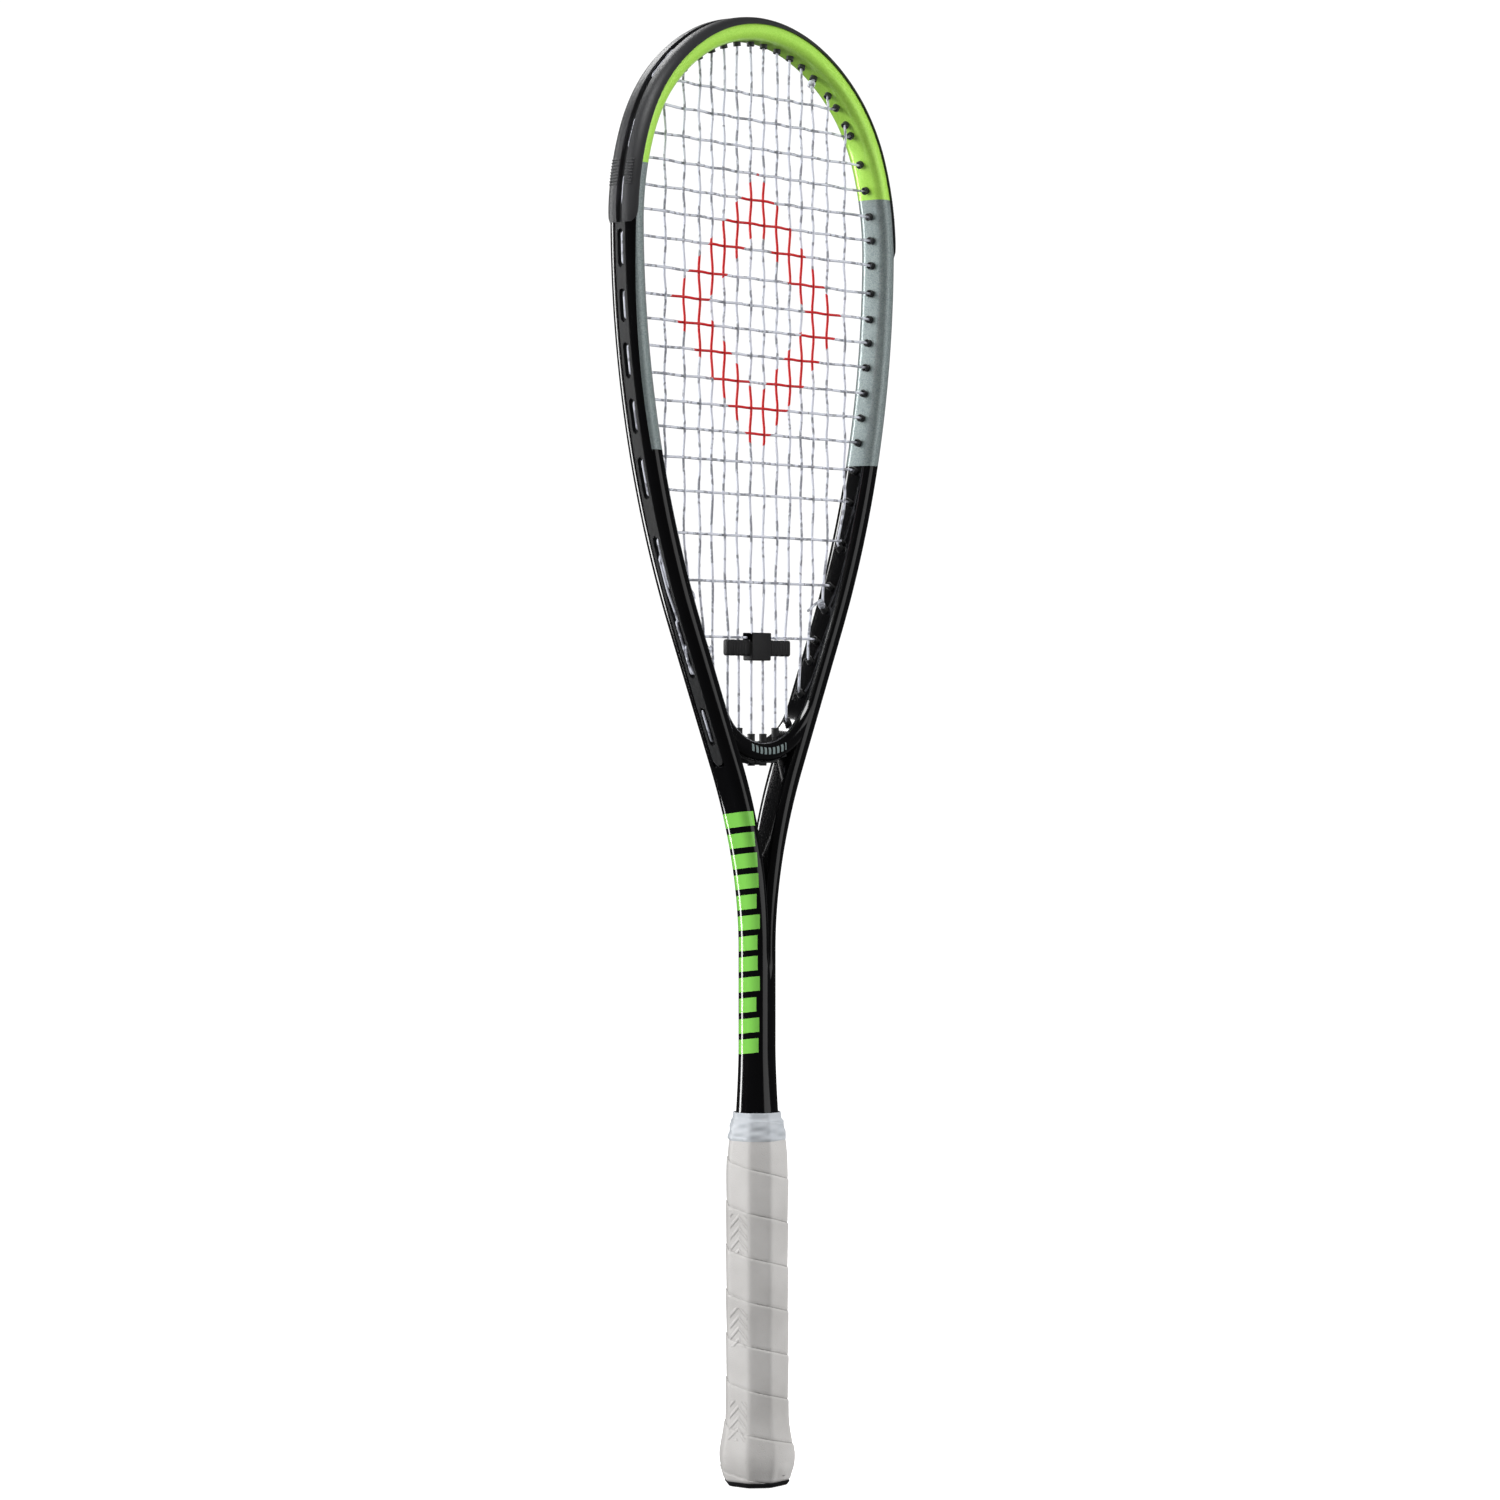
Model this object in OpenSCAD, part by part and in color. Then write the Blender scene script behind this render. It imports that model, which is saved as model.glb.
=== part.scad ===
// Squash racket: carbon frame with an open throat, 14 by 19 string bed, dampener and octagonal grip.
// Millimetres. Z runs from the butt to the tip, X across the face, Y through it (front is -Y).

/* [Overall] */
// Length from the butt to the top of the bumper
racket_len = 685; // [680:1:686]

/* [Frame tube] */
// Width of the tube in the plane of the face
tube_w = 10; // [9.6:0.2:10.6]
// Depth of the tube through the face
tube_t = 16; // [15:0.5:17]
// Radius of the tube's rounded edges
tube_r = 4.4; // [4:0.1:4.6]
// Thickness of the laminate
wall = 1.3; // [1:0.1:1.5]
// Length of the straight stretch of each throat arm
arm_straight = 72; // [70:1:74]

/* [Groove and grommets] */
// Width of the groove round the outside of the hoop
groove_w = 6.4; // [6:0.1:6.8]
// Depth of that groove
groove_d = 2.4; // [2.2:0.1:2.6]
// Outer radius of a grommet barrel
barrel_r = 1.75; // [1.7:0.05:1.8]
// Inner radius of a grommet barrel
bore_r = 1.35; // [1.3:0.01:1.4]
// How far a barrel stands out on the inside of the hoop
barrel_tip = 2; // [1.5:0.1:2.5]
// How far the bumper stands proud of the tube
bumper_proud = 1; // [0.8:0.1:1.2]

/* [Throat] */
// Height of the bridge's top surface on the centre line
bridge_z = 347; // [346:0.5:350]
// Thickness of the bridge in the plane of the face
bridge_w = 9.5; // [9:0.1:10]
// Depth of the bridge through the face
bridge_t = 14; // [13:0.5:14.5]
// Width of the shaft across the face
shaft_w = 17; // [16.6:0.2:17.4]
// Depth of the shaft through the face
shaft_t = 16; // [15:0.5:16]

/* [Strings] */
// Diameter of the string
string_d = 1.25; // [1.15:0.05:1.3]
// How far a cross string swings in front of and behind the main strings
weave = 1.35; // [1.32:0.01:1.4]

/* [Dampener] */
// Height of the centre of the dampener
dampener_z = 391.5; // [391:0.1:392]
// Width of the dampener across all six strings
dampener_w = 48; // [47.5:0.5:50]

/* [Handle] */
// Width of the wrapped grip across its wide flats
grip_w = 28.4; // [28:0.1:29]
// Width of the wrapped grip across its narrow flats
grip_t = 27; // [26.5:0.1:27.5]
// Thickness of the grip wrap
wrap_t = 1.7; // [1.5:0.1:1.8]
// Height of the top of the grip wrap
grip_top = 166; // [165:1:168]

/* [Hidden] */
$fn = 48;

// The hoop's centre line from the tip downwards: radius and sweep of each arc, on one side
HEAD_ARCS = [[102, 42.5], [77, 25.6], [112, 22.4], [426, 25.2]];
LAST_ARC = 3;
ARM_HEADING = heading(4);
// Main strings outwards from the centre line: x over the face, x at the throat, height of the bend
MAINS = [[5, 4.5, 443], [15.2, 14, 443], [25.2, 22.5, 443], [34.3, 0, 422], [43.6, 0, 422],
         [55, 0, 443], [69, 0, 462]];
// Height at which a main that enters an arm leaves the inner side, and the height outside
ARM_HOLES = [[359, 347], [371, 361.5], [386.5, 378], [411, 402], [441, 431]];
// Height of each cross string, from the top
CROSSES = [649.5, 637.5, 624.5, 612.5, 600.3, 589, 577, 563.5, 551, 539.5, 527.5, 515, 503, 491,
           477.5, 462.3, 443, 421.5, 395.7];
throat_straight_top = 397;
bridge_mains = 2;
last_crosses_on_bumper = 6;
string_r = string_d / 2;
fit_gap = 0.05;
seam = 0.3;
slot_w = 3;
slot_floor = tube_w / 2 - groove_d + 1.1;
lane = slot_floor + string_r + fit_gap;
lane_y = 0.7;
tail_lift = 1.05;
head_z = racket_len - bumper_proud - tube_w / 2;
shaft_bottom = 4;
pallet_top = 170;
arm_end = arc_point(LAST_ARC, ARM_HEADING, 0) + arm_straight * travel(ARM_HEADING);
fork_x = shaft_w / 2 - tube_w / 2;
fork_r = (arm_end[0] - fork_x) / (1 - cos(ARM_HEADING - 90));
fork_z = arm_end[1] - fork_r * sin(ARM_HEADING - 90);
// The bridge is an arc tangent to the inner sides of both arms
arm_inner = arm_end - tube_w / 2 * outward(ARM_HEADING);
bridge_r = (arm_inner * outward(ARM_HEADING) - bridge_z * cos(ARM_HEADING)) / (1 + cos(ARM_HEADING));
bridge_c = bridge_z + bridge_r;
bridge_lane = bridge_r + bridge_w + 0.9;
grip_levels = [[2.2, 1.2], [6, 4.2], [12, 6.6], [17, 5.6], [22, 3.4], [30, 0.8], [40, 0.2],
               [90, 0], [145, 0], [156, -1.2], [grip_top, -4]];

// Directions in the plane of the face for a heading that turns clockwise from +X
function outward(h) = [sin(h), cos(h)];
function travel(h) = [cos(h), -sin(h)];
function heading(i) = i == 0 ? 0 : heading(i - 1) + HEAD_ARCS[i - 1][1];
function arc_start(i) = i == 0 ? [0, head_z] : arc_point(i - 1, heading(i), 0);
function arc_centre(i) = arc_start(i) - HEAD_ARCS[i][0] * outward(heading(i));
function seam_point(i) = i > LAST_ARC + 1 ? arm_end : arc_start(i);
function seam_angle(r) = seam / 2 / r * 180 / PI;
function arc_point(i, h, off) = arc_centre(i) + (HEAD_ARCS[i][0] + off) * outward(h);

// The arc that holds a place on the hoop, counted from the tip; LAST_ARC + 1 is the straight arm
function arc_at_x(x, off, i = 0) = x <= arc_point(i, heading(i + 1), off)[0] ? i : arc_at_x(x, off, i + 1);
function arc_at_z(z, off, i = 0) =
    i > LAST_ARC || z >= arc_point(i, heading(i + 1), off)[1] ? i : arc_at_z(z, off, i + 1);
function heading_at_x(x, off) =
    let (i = arc_at_x(x, off)) asin((x - arc_centre(i)[0]) / (HEAD_ARCS[i][0] + off));
function heading_at_z(z, off) =
    let (i = arc_at_z(z, off))
    i > LAST_ARC ? ARM_HEADING : acos((z - arc_centre(i)[1]) / (HEAD_ARCS[i][0] + off));
function side_point(z, off) =
    let (i = arc_at_z(z, off), p = arm_end + off * outward(ARM_HEADING))
    i > LAST_ARC ? [p[0] - (z - p[1]) / tan(ARM_HEADING), z] : arc_point(i, heading_at_z(z, off), off);

// Each hole is a pair of points in the plane of the face: the tip of its barrel and the loop outside
tip_off = -tube_w / 2 - barrel_tip;
function head_hole(x) =
    let (i = arc_at_x(x, tip_off), h = heading_at_x(x, tip_off))
    [arc_point(i, h, tip_off), arc_point(i, h, lane)];
function cross_hole(z) =
    let (p = side_point(z, tip_off), h = heading_at_z(z, tip_off)) [p, p + (lane - tip_off) * outward(h)];
function bridge_z_at(x, r) = bridge_c - sqrt(r * r - x * x);
function throat_hole(j) =
    j < bridge_mains ? [[MAINS[j][1], bridge_z_at(MAINS[j][1], bridge_r - 3.5)],
                        [MAINS[j][1], bridge_z_at(MAINS[j][1], bridge_lane)]]
    : let (zs = ARM_HOLES[j - bridge_mains])
      [j == bridge_mains ? [MAINS[j][1], bridge_z_at(MAINS[j][1], bridge_r - barrel_tip)]
                         : side_point(zs[0], tip_off), side_point(zs[1], lane)];
function all_right_holes() = concat(
    [for (m = MAINS) head_hole(m[0])], [for (z = CROSSES) cross_hole(z)],
    [for (j = [bridge_mains : len(MAINS) - 1]) throat_hole(j)]);
function lifted(p, y) = [p[0], y, p[1]];
function flip(points) = [for (p = points) [-p[0], p[1], p[2]]];
function reversed(list) = [for (i = [len(list) - 1 : -1 : 0]) list[i]];

// Route of the main string: one side from the tip, down and up through seven pairs of holes
function main_x(j, z) =
    let (m = MAINS[j], low = throat_hole(j)[0], foot = j <= bridge_mains ? throat_straight_top : low[1],
         x_foot = j <= bridge_mains ? m[1] : low[0], t = (m[2] - z) / (m[2] - foot))
    m[0] + (x_foot - m[0]) * min(1, max(0, t));
function strand(j) =
    let (top = head_hole(MAINS[j][0]), low = throat_hole(j), z = MAINS[j][2])
    concat([lifted(top[1], lane_y), lifted(top[0], 0), [MAINS[j][0], 0, z]],
           j <= bridge_mains ? [[MAINS[j][1], 0, throat_straight_top]] : [],
           [lifted(low[0], 0), lifted(low[1], lane_y)]);
function head_loop(j) =
    let (x = (MAINS[j][0] + MAINS[j + 1][0]) / 2 + 4 * (j + 1) / len(MAINS), i = arc_at_x(x, lane))
    [lifted(arc_point(i, heading_at_x(x, lane), lane), lane_y)];
function main_tail() =
    let (from = throat_hole(6)[1], to = throat_hole(5))
    [lifted((from + to[1]) / 2 + tail_lift * outward(ARM_HEADING), 0), lifted(to[1], -lane_y),
     lifted(to[0], -lane_y)];
function half_mains(j = 0) =
    j == len(MAINS) ? main_tail()
    : concat(j % 2 == 0 ? strand(j) : reversed(strand(j)), j % 2 == 1 && j < len(MAINS) - 1 ? head_loop(j) : [],
             half_mains(j + 1));
main_route = concat(reversed(flip(half_mains())), half_mains());

// Route of the cross string: over and under every main, with a loop outside between two rows
function main_reaches(j, z) = z > throat_hole(j)[0][1] && z < head_hole(MAINS[j][0])[0][1];
function crossings(row) = [for (k = [1 - len(MAINS) : len(MAINS)])
    let (j = k > 0 ? k - 1 : -k, side = k > 0 ? 1 : -1, z = CROSSES[row])
    if (main_reaches(j, z)) [side * main_x(j, z), (row + k) % 2 == 0 ? weave : -weave, z]];
function cross_row(row) =
    let (hole = cross_hole(CROSSES[row]), ends = [lifted(hole[0], 0), lifted(hole[1], -lane_y)])
    concat(reversed(flip(ends)), crossings(row), ends);
function head_tail() =
    let (to = head_hole(MAINS[4][0]), from = cross_hole(CROSSES[0])[1], h = heading_at_x(MAINS[5][0], lane))
    [lifted(to[0], -lane_y), lifted(to[1], -lane_y), lifted(arc_point(0, h, lane + tail_lift), 0)];
function foot_tail() =
    let (from = cross_hole(CROSSES[len(CROSSES) - 1])[1], to = throat_hole(4))
    flip([lifted((from + to[1]) / 2 + tail_lift * outward(ARM_HEADING), 0), lifted(to[1], -lane_y),
          lifted(to[0], -lane_y)]);
cross_route = concat(head_tail(),
    [for (row = [0 : len(CROSSES) - 1]) each row % 2 == 0 ? reversed(cross_row(row)) : cross_row(row)],
    foot_tail());

// A tube with flat sides swept along a route, with each ring square to the mean of its two stretches
function unit(v) = v / norm(v);
function bend_axis(route, i) =
    unit(unit(route[min(i + 1, len(route) - 1)] - route[max(i, 0) == len(route) - 1 ? i - 1 : i])
         + unit(route[max(i, 1)] - route[max(i - 1, 0)]));
function ring_side(axis) = unit(abs(axis[1]) > 0.9 ? cross([0, 0, 1], axis) : cross([0, 1, 0], axis));
function ring(p, axis, r, sides) =
    let (u = ring_side(axis), v = cross(axis, u))
    [for (k = [0 : sides - 1]) p + r * (cos(360 * k / sides) * u + sin(360 * k / sides) * v)];

module swept_tube(route, r, sides = 8) {
    n = len(route);
    rings = [for (i = [0 : n - 1]) each ring(route[i], bend_axis(route, i), r, sides)];
    walls = [for (i = [0 : n - 2], k = [0 : sides - 1], half = [0, 1])
        let (a = i * sides + k, b = i * sides + (k + 1) % sides)
        half == 0 ? [a, b, b + sides] : [a, b + sides, a + sides]];
    ends = [[for (k = [sides - 1 : -1 : 0]) k], [for (k = [0 : sides - 1]) (n - 1) * sides + k]];
    polyhedron(rings, concat([for (w = walls) [w[2], w[1], w[0]]], [for (e = ends) reversed(e)]));
}

// Outlines
function rounded_box(w, t, r, steps = 4) = [for (c = [0 : 3], s = [0 : steps])
    let (a = 90 * c + 90 * s / steps, sx = (c == 0 || c == 3) ? 1 : -1, sy = c < 2 ? 1 : -1)
    [sx * (w / 2 - r) + r * cos(a), sy * (t / 2 - r) + r * sin(a)]];
function octagon(w, t, bevel) = [for (q = [0 : 3])
    let (sx = (q == 0 || q == 3) ? 1 : -1, sy = q < 2 ? 1 : -1, a = [sx * w / 2, sy * (t / 2 - bevel)],
         b = [sx * (w / 2 - bevel), sy * t / 2])
    each (q % 2 == 0 ? [a, b] : [b, a])];

module tube_section(inset = 0) {
    difference() {
        polygon(rounded_box(tube_w - 2 * inset, tube_t - 2 * inset, tube_r - inset));
        translate([tube_w / 2 - groove_d - inset, -groove_w / 2 - inset])
            square([groove_d + 1, groove_w + 2 * inset]);
    }
}

module cavity_section(inset = 0) {
    translate([-groove_d / 2, 0])
        polygon(rounded_box(tube_w - groove_d - 2 * (wall + inset), tube_t - 2 * (wall + inset), 2, 3));
}

// The child outline swept along the first arc, which runs over the tip to both sides
module along_crown() {
    half = HEAD_ARCS[0][1] - seam_angle(HEAD_ARCS[0][0]);
    translate([0, 0, arc_centre(0)[1]]) rotate([90, 0, 0]) rotate([0, 0, 90 - half])
        rotate_extrude(angle = 2 * half, $fn = 240) translate([HEAD_ARCS[0][0], 0]) children();
}

// The child outline swept along later arcs of the hoop, or along the straight arm, on the +X side
module along_arcs(first, last) {
    for (i = [first : last]) {
        c = arc_centre(i);
        trim = seam_angle(HEAD_ARCS[i][0]);
        translate([c[0], 0, c[1]]) rotate([90, 0, 0])
            rotate([0, 0, 90 - heading(i + 1) + trim])
                rotate_extrude(angle = HEAD_ARCS[i][1] - 2 * trim, $fn = 240)
                    translate([HEAD_ARCS[i][0], 0]) children();
    }
}

module across_outline(p, h) {
    translate([p[0], 0, p[1]]) rotate([90, 0, 0]) rotate([0, 0, 90 - h]) rotate([90, 0, 0]) children();
}

module along_arm() {
    across_outline(arc_start(LAST_ARC + 1), ARM_HEADING)
        translate([0, 0, seam / 2]) linear_extrude(arm_straight - seam) children();
}

// A short plug of the child outline inside each seam between two stretches, which makes them one
module at_seams(first, last) {
    for (i = [first : last])
        across_outline(seam_point(i), heading(min(i, LAST_ARC + 1))) linear_extrude(2, center = true) children();
}

module along_fork(sweep) {
    c = arm_end + fork_r * outward(ARM_HEADING);
    trim = seam_angle(fork_r);
    translate([c[0], 0, c[1]]) rotate([90, 0, 0]) rotate([0, 0, 270 - ARM_HEADING + trim])
        rotate_extrude(angle = sweep - 2 * trim, $fn = 240) translate([fork_r, 0]) mirror([1, 0]) children();
}

module both_sides() {
    children();
    mirror([1, 0, 0]) children();
}

// A straight round rod between two points of the plane of the face, longer by two given amounts
module rod(a, b, r, before = 0, after = 0) {
    d = b - a;
    translate([a[0], 0, a[1]]) rotate([0, atan2(d[0], d[1]), 0])
        translate([0, 0, -before]) cylinder(h = norm(d) + before + after, r = r);
}

// A barrel that starts at the tip of a hole and ends inside the strip, and the bore through both
module barrels(holes) {
    for (hole = holes) rod(hole[0], hole[1], barrel_r, 0, -1.5);
}

module bores(holes) {
    for (hole = holes) rod(hole[0], hole[1], bore_r, 1, 4);
}

// A slot with round ends in the outside of a strip, between two holes
module loop_slot(a, b) {
    dir = unit(b - a);
    out = [dir[1], -dir[0]][0] > 0 ? [dir[1], -dir[0]] : [-dir[1], dir[0]];
    drop = lane - slot_floor;
    foot = a - drop * out;
    translate([foot[0], 0, foot[1]]) rotate([0, atan2(out[0], out[1]), 0]) {
        run = norm(b - a);
        back = [out[1], -out[0]] * dir;
        translate([back > 0 ? 0 : -run, -slot_w / 2, 0]) cube([run, slot_w, 5]);
        for (x = [0, back * run]) translate([x, 0, 0]) cylinder(h = 5, r = slot_w / 2);
    }
}

module shaft_outline() {
    polygon(rounded_box(shaft_w, shaft_t, 7));
}

module frame_tube() {
    web = 1;
    cell_w = shaft_w / 2 - wall - web;
    flare_r = 9.9;
    color("#8edc4c") difference() {
        union() {
            along_crown() tube_section();
            both_sides() {
                along_arcs(1, LAST_ARC) tube_section();
                along_arm() tube_section();
                along_fork(ARM_HEADING - 90) polygon(rounded_box(tube_w, tube_t, tube_r));
                at_seams(1, LAST_ARC + 2) tube_section(fit_gap);
            }
            translate([0, 0, shaft_bottom]) linear_extrude(fork_z - shaft_bottom - seam) shaft_outline();
            translate([0, 0, fork_z - 2]) linear_extrude(4)
                polygon(rounded_box(shaft_w - 2 * fit_gap, shaft_t - 2 * fit_gap, 7 - fit_gap));
            translate([0, 0, pallet_top]) cylinder(h = 36, r1 = flare_r, r2 = shaft_t / 2 - 0.2);
        }
        along_crown() cavity_section();
        both_sides() {
            along_arcs(1, LAST_ARC) cavity_section();
            along_arm() cavity_section();
            along_fork(16) cavity_section();
            at_seams(1, LAST_ARC + 2) cavity_section(fit_gap);
            translate([web + cell_w / 2, 0, shaft_bottom - 1]) linear_extrude(fork_z - shaft_bottom - 15)
                polygon(rounded_box(cell_w, shaft_t - 2 * wall - 2, 3, 3));
            for (hole = all_right_holes()) rod(hole[0], hole[1], barrel_r + fit_gap, 3, 4);
        }
    }
}

// The bridge's solid: an arc of the given outline, cut to the wedge between the arms
module bridge_arc(radius, half_angle) {
    translate([0, 0, bridge_c]) rotate([90, 0, 0]) rotate([0, 0, -90 - half_angle])
        rotate_extrude(angle = 2 * half_angle, $fn = 240) translate([radius, 0]) children();
}

module between_arms(bite) {
    low = arm_end + (bite - tube_w / 2) * outward(ARM_HEADING);
    high = low - 90 * travel(ARM_HEADING);
    intersection() {
        children();
        rotate([90, 0, 0]) translate([0, 0, -20]) linear_extrude(40)
            polygon([[-low[0], low[1]], [low[0], low[1]], [high[0], high[1]], [-high[0], high[1]]]);
    }
}

module bridge_holes(r) {
    both_sides() {
        for (j = [0 : bridge_mains - 1]) rod(throat_hole(j)[0], throat_hole(j)[1], r, 3, 6);
        for (j = [bridge_mains, bridge_mains + 1]) rod(throat_hole(j)[0], throat_hole(j)[1], r, 3, 6);
    }
}

module throat_bridge() {
    mid = bridge_r + bridge_w / 2;
    color("#101112") difference() {
        between_arms(1.2) bridge_arc(mid, 62) polygon(rounded_box(bridge_w, bridge_t, 4.2));
        bridge_arc(mid, 38) polygon(rounded_box(bridge_w - 3, bridge_t - 3, 2, 3));
        bridge_arc(bridge_r + bridge_w, 32) translate([-1, -3.6]) square([3, 7.2]);
        bridge_holes(barrel_r + fit_gap);
    }
}

module bridge_foam_core() {
    color("#c9b27a") difference() {
        between_arms(-fit_gap) bridge_arc(bridge_r + bridge_w / 2, 38 - fit_gap)
            polygon(rounded_box(bridge_w - 3 - 2 * fit_gap, bridge_t - 3 - 2 * fit_gap, 2, 3));
        bridge_arc(bridge_r + bridge_w, 40) translate([-2.5, -4.6]) square([3, 9.2]);
        bridge_holes(barrel_r + fit_gap);
    }
}

// One quarter of a rounded box's outline, from the middle of its +X side to the middle of its +Y side
function quarter(w, t, r, steps = 4) =
    [for (s = [0 : steps]) [w / 2 - r + r * cos(90 * s / steps), t / 2 - r + r * sin(90 * s / steps)]];

// The bumper caps the outside of the tube, fills the groove and carries a channel for the loops
module bumper_section(inset = 0) {
    reach = 2.5 + inset;
    proud = 2 * (bumper_proud - inset);
    gap = 2 * (fit_gap + inset);
    rim = (groove_w - gap) / 2;
    side = slot_w / 2 + inset;
    floor = slot_floor - inset;
    outer = quarter(tube_w + proud, tube_t + proud, tube_r + proud / 2);
    inner = quarter(tube_w + gap, tube_t + gap, tube_r + gap / 2);
    half = concat([[floor, side], [outer[0][0], side]], [for (p = outer) if (p[0] > reach) p],
        [[reach, (tube_t + proud) / 2], [reach, (tube_t + gap) / 2]],
        [for (p = reversed(inner)) if (p[0] > reach) p],
        [[inner[0][0], rim], [tube_w / 2 - groove_d + gap / 2, rim]]);
    polygon(concat(half, [for (p = reversed(half)) [p[0], -p[1]]]));
}

function bumper_holes() = concat([for (m = MAINS) head_hole(m[0])],
    [for (i = [0 : last_crosses_on_bumper - 1]) cross_hole(CROSSES[i])]);

module bumper_guard() {
    color("#26282a") difference() {
        union() {
            along_crown() bumper_section();
            both_sides() {
                along_arcs(1, LAST_ARC - 1) bumper_section();
                at_seams(1, LAST_ARC - 1) bumper_section(fit_gap);
                barrels(bumper_holes());
            }
        }
        both_sides() bores(bumper_holes());
    }
}

module strip_section(inset = 0) {
    gap = fit_gap + inset;
    translate([tube_w / 2 - groove_d + gap, gap - groove_w / 2])
        square([groove_d + 0.2 - 2 * gap, groove_w - 2 * gap]);
}

function strip_holes() = concat(
    [for (i = [last_crosses_on_bumper : len(CROSSES) - 1]) cross_hole(CROSSES[i])],
    [for (j = [bridge_mains : len(MAINS) - 1]) throat_hole(j)]);

// A side strip on the +X side; its loops join the rows in pairs that start at first_row
module grommet_strip(first_row) {
    difference() {
        union() {
            along_arcs(LAST_ARC, LAST_ARC) strip_section();
            along_arm() strip_section();
            at_seams(LAST_ARC + 1, LAST_ARC + 1) strip_section(fit_gap);
            barrels(strip_holes());
        }
        bores(strip_holes());
        for (row = [first_row : 2 : len(CROSSES) - 2])
            loop_slot(cross_hole(CROSSES[row])[1], cross_hole(CROSSES[row + 1])[1]);
        loop_slot(throat_hole(2)[1], throat_hole(3)[1]);
        loop_slot(throat_hole(4)[1], throat_hole(5)[1]);
        loop_slot(throat_hole(5)[1], throat_hole(6)[1]);
    }
}

module grommet_strip_left() {
    color("#1d1e20") mirror([1, 0, 0]) grommet_strip(6);
}

module grommet_strip_right() {
    color("#1d1e20") grommet_strip(7);
}

module throat_grommet_strip() {
    span = 23.3;
    outer = bridge_r + bridge_w;
    loop_from = asin(MAINS[0][1] / outer) - 1;
    loop_sweep = asin(MAINS[1][1] / outer) - loop_from + 1;
    color("#1d1e20") difference() {
        union() {
            bridge_arc(outer, span) translate([fit_gap - 1, -3.5]) square([3, 7]);
            both_sides() for (j = [0 : bridge_mains - 1]) {
                hole = throat_hole(j);
                rod(hole[0], [hole[1][0], bridge_z_at(hole[1][0], outer)], barrel_r);
            }
        }
        both_sides() {
            for (j = [0 : bridge_mains - 1]) rod(throat_hole(j)[0], throat_hole(j)[1], bore_r, 1, 6);
            translate([0, 0, bridge_c]) rotate([90, 0, 0]) rotate([0, 0, loop_from - 90])
                rotate_extrude(angle = loop_sweep, $fn = 240) translate([outer + 0.25, -slot_w / 2])
                    square([4, slot_w]);
        }
    }
}

module main_string() {
    color("#c3c5d2") swept_tube(main_route, string_r);
}

module cross_string() {
    color("#c3c5d2") swept_tube(cross_route, string_r);
}

// A knot: a short fat collar of three turns drawn tight against the tip of a barrel
module knot(hole) {
    in = unit(hole[0] - hole[1]);
    at = hole[0] + 0.1 * in;
    for (turn = [0 : 2]) rod(at + turn * 1.1 * in, at + (turn * 1.1 + 1.3) * in, 1.9 - 0.2 * turn);
}

module main_string_knots() {
    color("#c3c5d2") both_sides() knot(throat_hole(5));
}

module cross_string_knots() {
    color("#c3c5d2") {
        knot(head_hole(MAINS[4][0]));
        mirror([1, 0, 0]) knot(throat_hole(4));
    }
}

module dampener() {
    block = [14.4, 5.8, 13];
    wing = [dampener_w, 3.4, 7.6];
    cross_room = 4.4;
    color("#17181a") difference() {
        union() {
            translate([0, 0, dampener_z]) cube(block, center = true);
            translate([0, 0, dampener_z - 0.6]) cube(wing, center = true);
        }
        // Room for the lowest cross string, which runs just above the wings
        translate([-dampener_w, -cross_room / 2, dampener_z + 2.8]) cube([2 * dampener_w, cross_room, 10]);
        both_sides() for (j = [0 : bridge_mains])
            translate([MAINS[j][1], 0, dampener_z - 10]) cylinder(h = 20, r = string_r + 0.2);
    }
}

// A closed solid through octagonal sections given as height, width and depth
module octagon_loft(levels, ring_shaped = false) {
    n = len(levels);
    points = [for (l = levels) each [for (p = octagon(l[1], l[2], min(l[1], l[2]) * 0.235)) [p[0], p[1], l[0]]]];
    last = ring_shaped ? n - 1 : n - 2;
    sides = [for (i = [0 : last], k = [0 : 7])
        let (a = i * 8 + k, b = i * 8 + (k + 1) % 8, c = (b + 8) % (8 * n), d = (a + 8) % (8 * n))
        each [[a, c, b], [a, d, c]]];
    ends = ring_shaped ? [] : [[for (k = [0 : 7]) k], [for (k = [7 : -1 : 0]) (n - 1) * 8 + k]];
    polyhedron(points, concat(sides, ends));
}

// Width and depth of the wrapped grip at each level, less a given thickness all round
function grip_size(thin, from = 0, to = racket_len) = [for (l = grip_levels)
    if (l[0] >= from && l[0] <= to) [l[0], grip_w + l[1] - 2 * thin, grip_t + l[1] - 2 * thin]];

module handle_pallet() {
    under = wrap_t + 0.35;
    w = grip_w - 2 * under;
    t = grip_t - 2 * under;
    color("#d8cfae") difference() {
        octagon_loft([[3, w, t], [144, w, t], [156, w - 1.4, t - 1.4], [grip_top, w - 4.2, t - 4.2],
                      [pallet_top, w - 4.6, t - 4.4]]);
        translate([0, 0, -1]) linear_extrude(pallet_top + 5) offset(delta = fit_gap) shaft_outline();
    }
}

module butt_cap() {
    lip = [[0, grip_w - 1, grip_t - 1], [2, grip_w + 1.2, grip_t + 1.2]];
    skin = grip_size(wrap_t + fit_gap, 0, 30);
    inside = grip_w - 2 * (wrap_t + 0.35) + 2 * fit_gap;
    inside_t = inside - grip_w + grip_t;
    color("#151517") octagon_loft(concat(lip, [[2.05, skin[0][1], skin[0][2]]], skin,
        [[30.5, inside, inside_t], [2.9, inside, inside_t]]));
}

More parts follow.
